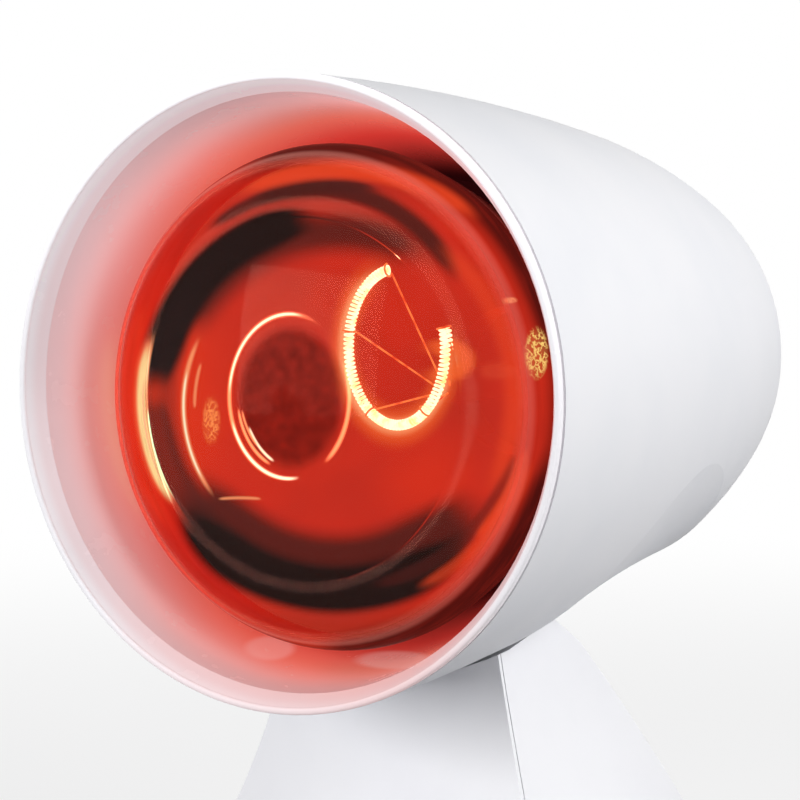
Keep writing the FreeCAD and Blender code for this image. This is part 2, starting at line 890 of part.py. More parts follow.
def bulb_glass():
    """Red glass envelope: shallow dome, round shoulder, long back and neck."""
    body = new_body("bulb_glass_body")
    wall = S.glass_wall
    cap_inner = S.cap_radius - S.cap_wall
    face = dome(S.dome_edge, S.dome_edge_back - S.bulb_front)
    inner_face = dome(S.dome_edge - wall / 2, S.dome_edge_back - S.bulb_front)
    end = CAP_FRONT + S.glass_reach
    outline = [
        (S.bulb_front, size(0.0)),
        (S.dome_edge_back, S.dome_edge),
        (S.bulb_widest, S.bulb_radius),
        (BULB_NECK, S.bulb_neck_radius),
        (BULB_WAIST, S.bulb_neck_radius),
        (CAP_FRONT, cap_inner),
        (end, cap_inner),
        (end, cap_inner - wall),
        (CAP_FRONT, cap_inner - wall),
        (BULB_WAIST, S.bulb_neck_radius - wall),
        (BULB_NECK, S.bulb_neck_radius - wall),
        (S.bulb_widest, S.bulb_radius - wall),
        (S.dome_edge_back + wall, S.dome_edge - wall / 2),
        (S.bulb_front + wall, size(0.0)),
    ]
    bows = {
        0: -face,
        1: -S.shoulder_bow,
        2: -S.bulb_back_bow,
        10: S.bulb_back_bow,
        11: S.shoulder_bow,
        12: inner_face,
    }
    revolve(body, draw_outline(sketch_on(body, "YZ_Plane"), outline, bows))
    keep(place(body, 0.0, HEAD_Y, BULB_Z), "bulb_glass")


def bulb_mirror():
    """The bright coat on the inside of the bulb's back."""
    body = new_body("bulb_mirror_body")
    wall = S.mirror_wall
    front, rear = S.bulb_widest + S.mirror_inset, BULB_NECK - S.mirror_inset
    wide = S.bulb_radius - S.glass_wall - S.mirror_gap - S.mirror_front_step
    narrow = S.bulb_neck_radius - S.glass_wall - S.mirror_gap + S.mirror_rear_step
    outline = [(front, wide - wall), (rear, narrow - wall), (rear, narrow), (front, wide)]
    bow = S.bulb_back_bow - S.mirror_flatter
    revolve(body, draw_outline(sketch_on(body, "YZ_Plane"), outline, {0: -bow, 2: bow}))
    keep(place(body, 0.0, HEAD_Y, BULB_Z), "bulb_mirror")


def bulb_cap():
    """Screw cap: a thin metal cup on the neck."""
    body = new_body("bulb_cap_body")
    wall, bevel = S.cap_wall, S.cap_bevel
    outline = [
        (CAP_FRONT, S.cap_radius - wall),
        (CAP_FRONT, S.cap_radius),
        (CAP_END - bevel, S.cap_radius),
        (CAP_END, S.cap_radius - bevel),
        (CAP_END, S.cap_radius - bevel - wall),
        (CAP_END - bevel, S.cap_radius - wall),
    ]
    revolve(body, draw_outline(sketch_on(body, "YZ_Plane"), outline))
    keep(place(body, 0.0, HEAD_Y, BULB_Z), "bulb_cap")


def cap_insulator():
    """Dark glass cone between the cap and its centre contact."""
    body = new_body("cap_insulator_body")
    end = CAP_END + S.insulator_length
    rim = S.cap_radius - S.cap_bevel
    outline = [(CAP_END, size(0.0)), (CAP_END, rim), (end, S.tip_radius), (end, size(0.0))]
    revolve(body, draw_outline(sketch_on(body, "YZ_Plane"), outline))
    keep(place(body, 0.0, HEAD_Y, BULB_Z), "cap_insulator")


def cap_contact():
    """Solder dome at the end of the cap."""
    body = new_body("cap_contact_body")
    start = CAP_END + S.insulator_length
    outline = [(start, size(0.0)), (start, S.tip_radius), (start + S.tip_length, size(0.0))]
    bows = {1: -dome(S.tip_radius, S.tip_length)}
    revolve(body, draw_outline(sketch_on(body, "YZ_Plane"), outline, bows))
    keep(place(body, 0.0, HEAD_Y, BULB_Z), "cap_contact")


def glass_stem():
    """Glass mount in the neck, pierced by the filament's wires."""
    body = new_body("glass_stem_body")
    outline = [
        (S.stem_front, size(0.0)),
        (S.stem_front, S.stem_radius),
        (STEM_FLARE, S.stem_radius),
        (STEM_DISC, S.bulb_neck_radius - S.glass_wall - S.fit_gap),
        (BULB_WAIST, S.bulb_neck_radius - S.glass_wall - S.fit_gap),
        (BULB_WAIST, size(0.0)),
    ]
    revolve(body, draw_outline(sketch_on(body, "YZ_Plane"), outline, {2: S.stem_bow}))
    place(body, 0.0, HEAD_Y, BULB_Z)
    keep(boolean("Cut", "glass_stem_pierced", body, support_wires()), "glass_stem")


def torus_arc(name, big, small, sweep, x, y, z, rotation):
    ring = DOC.addObject("Part::Torus", name)
    for field, number in (("Radius1", big), ("Radius2", small), ("Angle3", sweep)):
        setattr(ring, field, size(number).value)
        ring.setExpression(field, size(number).text)
    place(ring, x, y, z)
    ring.Placement = FreeCAD.Placement(ring.Placement.Base, rotation)
    return ring


def filament():
    """The coiled wire, bent to an open ring round the bulb's axis."""
    facing = FreeCAD.Rotation(ALONG_X, 90)
    opening = FreeCAD.Rotation(UP, (S.coil_gap_middle + S.coil_gap / 2).value)
    ring = torus_arc(
        "filament_ring",
        S.coil_radius,
        S.coil_wire,
        FULL_TURN - S.coil_gap,
        0.0,
        HEAD_Y + S.coil_back,
        BULB_Z + S.coil_rise,
        facing.multiply(opening),
    )
    keep(ring, "filament")


def support_wires():
    """Wires fanning out from the stem to the filament."""
    wires = []
    radius = S.wire_radius.value
    first = S.coil_gap_middle + S.coil_gap / 2
    step = (FULL_TURN - S.coil_gap) / (S.wire_count - 1)
    for number in range(int(S.wire_count.value)):
        turn = first + number * step
        out = vector(cosine(turn), 0.0, sine(turn))
        base = vector(0.0, HEAD_Y + S.stem_front + S.wire_depth, BULB_Z) + out * S.wire_root.value
        end = vector(0.0, HEAD_Y + S.coil_back + S.coil_wire, BULB_Z + S.coil_rise) + out * S.coil_radius.value
        end -= (end - base).normalize() * radius
        wires.append(Part.makeCylinder(radius, (end - base).Length, base, end - base))
    item = DOC.addObject("Part::Feature", "support_wires_shape")
    item.Shape = Part.makeCompound(wires)
    return keep(item, "filament_supports")


# ---------------------------------------------------------------- hinge pieces in the foot


def hinge_pin():
    body = new_body("hinge_pin_body")
    reach = CHEEK_OUT + S.washer
    outline = [
        (-reach - S.pin_head, size(0.0)),
        (reach + S.nut + S.pin_end, size(0.0)),
        (reach + S.nut + S.pin_end, S.pin_radius),
        (-reach, S.pin_radius),
        (-reach, S.pin_head_radius),
        (-reach - S.pin_head, S.pin_head_radius - S.pin_chamfer),
    ]
    revolve(body, draw_outline(sketch_on(body, "XZ_Plane"), outline))
    keep(place(body, 0.0, HINGE_Y, HINGE_Z), "hinge_pin")


def hinge_bushes():
    """Flanged bushes in the two cheeks."""
    items = []
    for side in (-1, 1):
        body = new_body("bush_left" if side < 0 else "bush_right")
        inner = S.pin_radius + S.pin_gap
        face = S.knuckle_half + S.side_gap
        outline = [
            (side * face, inner),
            (side * CHEEK_OUT, inner),
            (side * CHEEK_OUT, BUSH_RADIUS),
            (side * CHEEK_FACE, BUSH_RADIUS),
            (side * CHEEK_FACE, S.bush_flange_radius),
            (side * face, S.bush_flange_radius),
        ]
        revolve(body, draw_outline(sketch_on(body, "XZ_Plane"), outline))
        items.append(place(body, 0.0, HINGE_Y, HINGE_Z))
    group = DOC.addObject("Part::Compound", "bushes")
    group.Links = items
    keep(group, "hinge_bushes")


def hinge_washers():
    items = []
    for side in (-1, 1):
        body = new_body("washer_left" if side < 0 else "washer_right")
        sketch = sketch_on(body, "YZ_Plane", side * CHEEK_OUT)
        draw_circle(sketch, 0.0, 0.0, S.washer_radius)
        draw_circle(sketch, 0.0, 0.0, S.pin_radius + S.pin_gap)
        pad(body, sketch, S.washer, Reversed=side < 0)
        items.append(place(body, 0.0, HINGE_Y, HINGE_Z))
    group = DOC.addObject("Part::Compound", "washers")
    group.Links = items
    keep(group, "hinge_washers")


def hinge_nut():
    body = new_body("hinge_nut_body")
    sketch = sketch_on(body, "YZ_Plane", CHEEK_OUT + S.washer)
    corners = []
    for corner in range(HEX_SIDES):
        turn = size((corner + 0.5) * FULL_TURN / HEX_SIDES)
        corners.append((S.nut_radius * cosine(turn), S.nut_radius * sine(turn)))
    draw_outline(sketch, corners)
    draw_circle(sketch, 0.0, 0.0, S.pin_radius + S.pin_gap)
    pad(body, sketch, S.nut)
    keep(place(body, 0.0, HINGE_Y, HINGE_Z), "hinge_nut")


PLUNGER_TOP = HINGE_Z - S.brake_radius - S.pin_gap
PLUNGER_FOOT = PLUNGER_TOP - S.plunger_length
BLOCK_TOP = HINGE_Z - S.brake_radius - S.block_gap


def brake_plunger():
    """Round-nosed pin that the spring presses on the sector, with a stem inside the spring."""
    body = new_body("brake_plunger_body")
    cone_top = PLUNGER_TOP - S.plunger_nose
    outline = [
        (size(0.0), PLUNGER_FOOT - S.stem_length),
        (S.plunger_stem, PLUNGER_FOOT - S.stem_length),
        (S.plunger_stem, PLUNGER_FOOT),
        (S.plunger_radius, PLUNGER_FOOT),
        (S.plunger_radius, cone_top - S.plunger_cone),
        (S.plunger_nose, cone_top),
        (size(0.0), PLUNGER_TOP),
    ]
    bows = {5: dome(S.plunger_nose, S.plunger_nose)}
    revolve(body, draw_outline(sketch_on(body, "XZ_Plane"), outline, bows), "V_Axis")
    keep(place(body, 0.0, HINGE_Y, 0.0), "brake_plunger")


def brake_block():
    """Block between the cheeks that guides the plunger."""
    body = new_body("brake_block_body")
    face = sketch_on(body, "XY_Plane", BLOCK_TOP)
    reach = CHEEK_FACE
    draw_outline(face, box_corners(-reach, reach, -S.block_half, S.block_half))
    pad(body, face, S.block_height, Reversed=True)
    well = draw_circle(sketch_on(body, "XY_Plane", BLOCK_TOP), 0.0, 0.0, S.plunger_radius + S.pin_gap)
    pocket(body, well, S.block_height - S.block_floor)
    keep(place(body, 0.0, HINGE_Y, 0.0), "brake_block")


def brake_spring():
    """Coil of six-sided wire between the block's floor and the plunger's shoulder."""
    item = DOC.addObject("Part::Feature", "brake_spring_shape")
    floor = BLOCK_TOP - S.block_height + S.block_floor
    wire = S.spring_wire.value
    length = (PLUNGER_FOOT - floor).value - 2 * wire
    middle = ((S.plunger_radius + S.plunger_stem) / 2).value
    helix = Part.makeHelix(length / S.spring_turns.value, length, middle)
    corners = []
    for corner in range(HEX_SIDES + 1):
        turn = math.radians(corner * FULL_TURN / HEX_SIDES)
        corners.append(FreeCAD.Vector(middle + wire * math.cos(turn), 0, wire * math.sin(turn)))
    item.Shape = Part.Wire(helix.Edges).makePipeShell([Part.makePolygon(corners)], True, True)
    item.Placement = FreeCAD.Placement(vector(0, HINGE_Y, floor + wire), FreeCAD.Rotation())
    keep(item, "brake_spring")


# ---------------------------------------------------------------- foot


def foot_section(body, height, front, front_half, front_bow, side_bow, rear, rear_half, rear_bow, inset):
    """One level of the foot: four bowed sides. The front corners make the creases beside the front."""
    sketch = sketch_on(body, "XY_Plane", height)
    front_y, rear_y = front - S.rim_forward + inset, rear - S.rim_forward - inset
    corners = [
        (-(front_half - inset), front_y),
        (front_half - inset, front_y),
        (rear_half - inset, rear_y),
        (-(rear_half - inset), rear_y),
    ]
    return draw_outline(sketch, corners, {0: front_bow, 1: side_bow, 2: rear_bow, 3: side_bow})


def foot_form(name, inset, bottom, cap):
    """The foot as a solid: a round band at the bottom and a loft that narrows to the hinge."""
    body = new_body(name)
    diagonal = size(math.sqrt(0.5))
    half = S.base_radius * diagonal
    bow = S.base_radius - half
    shrunk = bow - inset * (1 - diagonal)
    levels = []
    for height in (bottom, S.band_top):
        sketch = sketch_on(body, "XY_Plane", height)
        reach = (S.base_radius - inset) * diagonal
        corners = [
            (-reach, FOOT_Y - reach),
            (reach, FOOT_Y - reach),
            (reach, FOOT_Y + reach),
            (-reach, FOOT_Y + reach),
        ]
        levels.append(draw_outline(sketch, corners, {side: shrunk for side in range(4)}))
    pad(body, levels[0], S.band_top - bottom)
    sections = [
        levels[1],
        foot_section(body, S.low_height, LOW_FRONT, S.low_front_half, S.low_front_bow, S.low_side_bow,
                     LOW_REAR, S.low_rear_half, S.low_rear_bow, inset),
        foot_section(body, MID_HEIGHT, S.mid_front, S.mid_front_half, S.mid_front_bow, S.mid_side_bow,
                     S.mid_rear, S.mid_rear_half, S.mid_rear_bow, inset),
        foot_section(body, TOP_HEIGHT - cap, S.top_front, S.top_front_half, S.top_front_bow, S.top_side_bow,
                     S.top_rear, S.top_rear_half, S.top_rear_bow, inset),
    ]
    loft = feature(body, "AdditiveLoft", sections[0], Sections=sections[1:], Ruled=False)
    loft.Closed = False
    return place(body)


def head_sweep(name, offset):
    """All the room that the head takes from level to fully tilted, and a gap round it."""
    level, tilted = [
        boolean("Cut", f"{name}_{pose}",
                bullet(f"{name}_{pose}_skin", -offset, -S.lip_depth, -S.lip_depth),
                relief(f"{name}_{pose}_relief", -offset))
        for pose in ("level", "tilted")
    ]
    turn = S.tilt_range
    place(
        tilted,
        0.0,
        HINGE_Y - HINGE_Y * cosine(turn) - HINGE_Z * sine(turn),
        HINGE_Z + HINGE_Y * sine(turn) - HINGE_Z * cosine(turn),
        ALONG_X,
        -turn,
    )
    spool = new_body(f"{name}_spool")
    sketch = sketch_on(spool, "XZ_Plane")
    rise = S.hinge_drop + S.hinge_back * sine(S.axis_rise) + S.relief_raise
    draw_circle(sketch, 0.0, rise, S.spool_radius + offset)
    revolve(spool, sketch, "H_Axis", angle=S.tilt_range, Reversed=True)
    place(spool, 0.0, HINGE_Y, HINGE_Z)
    return fuse_all(name, [level, tilted, spool])


def cheeks():
    """Two cheeks inside the foot that carry the hinge."""
    body = new_body("cheeks")
    sketch = sketch_on(body, "YZ_Plane")
    reach = S.cheek_radius
    outline = [
        (-reach, -S.cheek_depth),
        (S.cheek_back, -S.cheek_depth),
        (S.cheek_back, reach),
        (size(0.0), reach),
        (-reach, size(0.0)),
    ]
    draw_outline(sketch, outline, {3: dome(reach, reach)})
    pad(body, sketch, 2 * CHEEK_OUT, Midplane=True)
    between = box_corners(-2 * reach, 2 * S.cheek_back, -2 * S.cheek_depth, 2 * reach)
    gap = draw_outline(sketch_on(body, "YZ_Plane"), between)
    pocket(body, gap, 2 * CHEEK_FACE, Midplane=True)
    bore = draw_circle(sketch_on(body, "YZ_Plane"), 0.0, 0.0, BUSH_RADIUS)
    pocket(body, bore, 3 * CHEEK_OUT, Midplane=True)
    return place(body, 0.0, HINGE_Y, HINGE_Z)


def bosses(name, across, back):
    """A pair of screw pillars standing on the base plate."""
    items = []
    for side in (-1, 1):
        items.append(cylinder(f"{name}_{side + 1}", S.boss_radius, TOP_HEIGHT, side * across,
                              back - S.rim_forward, PLATE_TOP))
    return fuse_all(name, items)


def base_screw_places():
    places = []
    for across, back in ((S.boss_front_x, BOSS_FRONT), (S.boss_rear_x, BOSS_REAR)):
        for side in (-1, 1):
            places.append((side * across, back - S.rim_forward, S.plate_bottom, UP, 0.0))
    return places


def front_region(name, behind):
    """Everything in front of the seam, which runs just behind the creases of the front."""
    body = new_body(name)
    levels = []
    far = 3 * S.base_radius
    diagonal = size(math.sqrt(0.5))
    edges = [
        (S.band_bottom - S.overcut, FOOT_Y - S.base_radius * diagonal),
        (S.band_top, FOOT_Y - S.base_radius * diagonal),
        (S.low_height, LOW_FRONT - S.rim_forward),
        (MID_HEIGHT, S.mid_front - S.rim_forward),
        (TOP_HEIGHT + S.overcut, S.top_front - S.rim_forward),
    ]
    for height, edge in edges:
        sketch = sketch_on(body, "XY_Plane", height)
        levels.append(draw_outline(sketch, box_corners(-far, far, -far, edge + behind)))
    pad(body, levels[0], S.band_top - S.band_bottom + S.overcut)
    loft = feature(body, "AdditiveLoft", levels[1], Sections=levels[2:], Ruled=False)
    loft.Closed = False
    return place(body)


def hinge_slot():
    """The opening in the foot's top that the knuckle swings in."""
    body = new_body("hinge_slot")
    sketch = sketch_on(body, "YZ_Plane")
    ahead = S.knuckle_radius + S.slot_gap
    far = 4 * S.knuckle_radius
    draw_outline(sketch, box_corners(-ahead, far, -S.brake_radius - S.slot_gap, far))
    pad(body, sketch, 2 * CHEEK_FACE, Midplane=True)
    return place(body, 0.0, HINGE_Y, HINGE_Z)


def foot_shells():
    """The foot's front cover and rear shell."""
    form = boolean("Cut", "foot_saddled", foot_form("foot_outside", size(0.0), S.band_bottom, size(0.0)),
                   head_sweep("sweep_outside", S.saddle_gap))
    cavity = boolean("Cut", "foot_hollow",
                     foot_form("foot_inside", S.foot_wall, S.band_bottom - S.overcut, S.foot_wall),
                     head_sweep("sweep_inside", S.saddle_gap + S.foot_wall))
    skin = boolean("Cut", "foot_skin", form, cavity)
    slotted = boolean("Cut", "foot_slotted", skin, hinge_slot())
    holes = screw_holes("base_holes", base_screw_places())

    front_pillars = bosses("front_bosses", S.boss_front_x, BOSS_FRONT)
    front_bosses = boolean("Common", "front_bosses_in", front_pillars, form)
    front_skin = boolean("Common", "front_skin", slotted, front_region("front_zone", S.seam_behind))
    front = fuse_all("front_whole", [front_skin, front_bosses])
    keep(boolean("Cut", "front_bored", front, holes), "foot_front")

    rear_zone = front_region("rear_zone", S.seam_behind + S.seam_gap)
    rear_skin = boolean("Cut", "rear_skin", slotted, rear_zone)
    rear_bosses = boolean("Common", "rear_bosses_in", bosses("rear_bosses", S.boss_rear_x, BOSS_REAR), form)
    rear_cheeks = boolean("Common", "cheeks_in", cheeks(), form)
    rear = fuse_all("rear_whole", [rear_skin, rear_bosses, rear_cheeks])
    rear_holes = screw_holes("rear_holes", base_screw_places())
    cuts = fuse_all("rear_cuts", [rear_holes, gland_hole(), switch_hole()])
    keep(boolean("Cut", "rear_bored", rear, cuts), "foot_rear")


GLAND_Y = FOOT_Y + S.base_radius


def gland_hole():
    return cylinder("gland_hole", S.gland_bore + S.gland_wall + S.fit_gap, 3 * S.foot_wall, 0.0,
                    GLAND_Y - 2 * S.foot_wall, S.gland_height, ALONG_X, -90.0)


def cord_gland():
    """The bush that the mains cord would leave through."""
    body = new_body("cord_gland_body")
    bore, barrel = S.gland_bore, S.gland_bore + S.gland_wall
    inner = -S.foot_wall - S.gland_tail
    outer = S.gland_seat + S.gland_flange_depth
    outline = [
        (inner - S.gland_tail, bore),
        (outer, bore),
        (outer, barrel + S.gland_nose),
        (S.gland_seat, S.gland_flange),
        (S.gland_seat, barrel),
        (inner, barrel),
        (inner, barrel + S.gland_barb),
        (inner - S.gland_tail, barrel),
    ]
    revolve(body, draw_outline(sketch_on(body, "YZ_Plane"), outline))
    keep(place(body, 0.0, GLAND_Y, S.gland_height), "cord_gland")


def base_plate():
    """Flat plate that closes the foot, with shallow seats for the pads and a notch behind the gland."""
    body = new_body("base_plate_body")
    face = sketch_on(body, "XY_Plane", S.plate_bottom)
    draw_circle(face, 0.0, FOOT_Y, S.base_radius - S.foot_wall - S.plate_gap)
    pad(body, face, S.plate_thickness)
    recess = sketch_on(body, "XY_Plane", S.plate_bottom)
    for x, y in pad_places():
        draw_circle(recess, x, y, S.pad_radius)
    pocket(body, recess, S.pad_height - S.plate_bottom, Reversed=True)
    place(body)
    notch = box("gland_notch", 2 * S.notch_half, 2 * S.notch_reach, 2 * PLATE_TOP,
                -S.notch_half, GLAND_Y - S.foot_wall - S.notch_reach, 0.0)
    cuts = fuse_all("plate_cuts", [screw_holes("plate_screw_holes", base_screw_places()), notch])
    keep(boolean("Cut", "base_plate_cut", body, cuts), "base_plate")


def pad_places():
    diagonal = size(math.sqrt(0.5))
    reach = S.pad_circle * diagonal
    return [(x * reach, FOOT_Y + y * reach) for x in (-1, 1) for y in (-1, 1)]


def rubber_pads():
    items = []
    for number, (x, y) in enumerate(pad_places()):
        items.append(cylinder(f"pad_{number}", S.pad_radius, S.pad_height, x, y, 0.0))
    group = DOC.addObject("Part::Compound", "pads")
    group.Links = items
    keep(group, "rubber_feet")


def ballast():
    """Steel weight resting on the base plate."""
    body = new_body("ballast_body")
    face = sketch_on(body, "XY_Plane", PLATE_TOP)
    half, length = S.ballast_half, S.ballast_length
    draw_outline(face, box_corners(-half, half, FOOT_Y - length, FOOT_Y + length),
                 {0: S.ballast_bow, 2: S.ballast_bow})
    pad(body, face, S.ballast_thickness)
    keep(place(body), "ballast_plate")


# ---------------------------------------------------------------- switch

SWITCH_Y = BASE_REAR - S.switch_in - S.rim_forward
SWITCH_Z = S.switch_height
LEAN = -S.switch_slope


def switch_place(item):
    """Turns a piece drawn lying flat so that it faces out of the foot's rear slope."""
    return place(item, 0.0, SWITCH_Y, SWITCH_Z, ALONG_X, LEAN)


def switch_hole():
    body = new_body("switch_hole")
    gap = S.fit_gap
    seat = sketch_on(body, "XY_Plane", -S.switch_seat)
    draw_outline(seat, box_corners(-S.switch_width / 2 - gap, S.switch_width / 2 + gap,
                                   -S.switch_length / 2 - gap, S.switch_length / 2 + gap))
    pad(body, seat, S.switch_clear)
    hole = sketch_on(body, "XY_Plane", -S.switch_seat)
    draw_outline(hole, box_corners(-S.switch_body_width / 2 - gap, S.switch_body_width / 2 + gap,
                                   -S.switch_body_length / 2 - gap, S.switch_body_length / 2 + gap))
    pad(body, hole, S.switch_clear, Reversed=True)
    return switch_place(body)


def switch_frame():
    """Switch body and bezel in one, open at the top for the rocker."""
    body = new_body("switch_frame_body")
    base = sketch_on(body, "XY_Plane", -S.switch_seat)
    draw_outline(base, box_corners(-S.switch_body_width / 2, S.switch_body_width / 2,
                                   -S.switch_body_length / 2, S.switch_body_length / 2))
    pad(body, base, S.switch_depth, Reversed=True)
    bezel = sketch_on(body, "XY_Plane", -S.switch_seat)
    draw_outline(bezel, box_corners(-S.switch_width / 2, S.switch_width / 2,
                                    -S.switch_length / 2, S.switch_length / 2))
    pad(body, bezel, S.switch_rim)
    well = sketch_on(body, "XY_Plane", S.switch_rim - S.switch_seat)
    gap = S.rocker_gap
    draw_outline(well, box_corners(-S.rocker_width / 2 - gap, S.rocker_width / 2 + gap,
                                   -S.rocker_length / 2 - gap, S.rocker_length / 2 + gap))
    pocket(body, well, S.rocker_depth + S.rocker_belly)
    keep(switch_place(body), "switch_frame")


def switch_rocker():
    """Rocker with a shallow V on top; it swings on its own round belly."""
    body = new_body("switch_rocker_body")
    half = S.rocker_length / 2
    top = S.switch_rim - S.switch_seat
    outline = [
        (-half, -S.rocker_side),
        (half, -S.rocker_side),
        (half, top - S.rocker_fall),
        (size(0.0), top),
        (-half, top + S.rocker_rise),
    ]
    sketch = draw_outline(sketch_on(body, "YZ_Plane"), outline, {0: S.rocker_belly})
    pad(body, sketch, S.rocker_width, Midplane=True)
    keep(switch_place(body), "switch_rocker")


def switch_tabs():
    """Two blade terminals under the switch."""
    items = []
    for side in (-1, 1):
        body = new_body("tab_left" if side < 0 else "tab_right")
        sketch = sketch_on(body, "XY_Plane", -S.switch_seat - S.switch_depth)
        middle, half = side * S.tab_offset, S.tab_thickness / 2
        draw_outline(sketch, box_corners(-S.tab_half, S.tab_half, middle - half, middle + half))
        pad(body, sketch, S.tab_length, Reversed=True)
        items.append(switch_place(body))
    group = DOC.addObject("Part::Compound", "tabs")
    group.Links = items
    keep(group, "switch_tabs")


# ---------------------------------------------------------------- build and write


def build():
    head_shell()
    inner_shade()
    lampholder()
    carrier_plate()
    screw_sleeve()
    centre_tongue()
    screws("carrier_screws", carrier_screw_places())
    screws("holder_screws", holder_screw_places())
    bulb_glass()
    bulb_mirror()
    bulb_cap()
    cap_insulator()
    cap_contact()
    glass_stem()
    filament()
    hinge_pin()
    hinge_bushes()
    hinge_washers()
    hinge_nut()
    brake_plunger()
    brake_block()
    brake_spring()
    foot_shells()
    base_plate()
    ballast()
    rubber_pads()
    screws("base_screws", base_screw_places())
    cord_gland()
    switch_frame()
    switch_rocker()
    switch_tabs()


def check_and_write():
    DOC.recompute()
    broken = [item.Name for item in DOC.Objects if {"Invalid", "Error"} & set(item.State)]
    broken += [item.Label for item in NODES if item.Shape.isNull() or not item.Shape.isValid()]
    if broken:
        raise RuntimeError(f"these objects did not build: {broken}")
    os.makedirs("parts", exist_ok=True)
    for item in NODES:
        item.Shape.exportStep(os.path.join("parts", f"{item.Label}.step"))
        print(f"{item.Label}: {len(item.Shape.Solids)} solid(s), {item.Shape.Volume / 1000:.2f} cm3")


build()
check_and_write()
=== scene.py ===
"""Finishes of the infrared heat lamp, and the pieces that are finer than its solids.

Frame: metres, +Z up, the lamp shines towards -Y. Sizes are millimetres unless they say otherwise, and "back"
is counted from the plane of the shade's mouth.
"""

import logging
import math
from dataclasses import dataclass, field
from enum import Enum
from typing import Union

import bmesh
import bpy
from mathutils import Matrix, Vector


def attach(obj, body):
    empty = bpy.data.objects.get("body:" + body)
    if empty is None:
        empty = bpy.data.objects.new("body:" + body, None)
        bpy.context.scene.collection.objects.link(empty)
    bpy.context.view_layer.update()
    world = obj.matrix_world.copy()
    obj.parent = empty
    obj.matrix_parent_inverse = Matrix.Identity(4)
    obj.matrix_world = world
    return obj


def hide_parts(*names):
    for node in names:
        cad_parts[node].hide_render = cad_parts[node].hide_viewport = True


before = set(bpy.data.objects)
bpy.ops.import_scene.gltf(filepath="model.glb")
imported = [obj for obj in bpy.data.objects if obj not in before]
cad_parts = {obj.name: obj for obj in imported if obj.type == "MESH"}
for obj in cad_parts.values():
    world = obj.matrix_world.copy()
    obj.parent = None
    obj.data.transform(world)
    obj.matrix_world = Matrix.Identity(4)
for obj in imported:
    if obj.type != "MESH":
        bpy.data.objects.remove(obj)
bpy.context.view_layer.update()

LOG = logging.getLogger("heat_lamp")
MM = 0.001
FULL_TURN = 2 * math.pi

RIM_PLANE = -84.0
MOUTH_HEIGHT = 128.0
AXIS_DROP = 1.5
AXIS_HEIGHT = MOUTH_HEIGHT - AXIS_DROP


class Body(Enum):
    """The bodies that a piece can ride on."""

    FOOT = "foot"
    HEAD = "head"
    BULB = "bulb"
    PLUNGER = "plunger"
    ROCKER = "rocker"


@dataclass(frozen=True)
class Colour:
    """A colour as a paint card shows it, each channel from 0 to 255."""

    red: float
    green: float
    blue: float

    def linear(self) -> tuple[float, float, float, float]:
        """Turns the colour into light values.

        Returns:
            Red, green, blue and alpha, as a shader takes them.
        """
        shares = (self.red / 255, self.green / 255, self.blue / 255)
        light = [s / 12.92 if s <= 0.04045 else ((s + 0.055) / 1.055) ** 2.4 for s in shares]
        return (light[0], light[1], light[2], 1.0)


BLACK = (0.0, 0.0, 0.0, 1.0)
WHITE = (1.0, 1.0, 1.0, 1.0)
GLASS_TINT = (0.95, 0.45, 0.36)


# ---------------------------------------------------------------- shader graphs


class Signal:
    """A number that varies over a surface. Sums and products with it add nodes to its graph."""

    def __init__(self, graph: "Graph", socket: bpy.types.NodeSocket) -> None:
        """Wraps one output of the graph."""
        self.graph = graph
        self.socket = socket

    def __add__(self, other: "Value") -> "Signal":
        """Adds a number or a signal."""
        return self.graph.math("ADD", self, other)

    def __sub__(self, other: "Value") -> "Signal":
        """Takes a number or a signal away."""
        return self.graph.math("SUBTRACT", self, other)

    def __mul__(self, other: "Value") -> "Signal":
        """Multiplies by a number or a signal."""
        return self.graph.math("MULTIPLY", self, other)

    def __truediv__(self, other: "Value") -> "Signal":
        """Divides by a number or a signal."""
        return self.graph.math("DIVIDE", self, other)

    def size(self) -> "Signal":
        """The number without its sign."""
        return self.graph.math("ABSOLUTE", self)

    def flipped(self) -> "Signal":
        """One minus the number."""
        return self.graph.math("SUBTRACT", 1.0, self)


Value = Union[float, Signal]
Paint = Union[tuple, Signal]


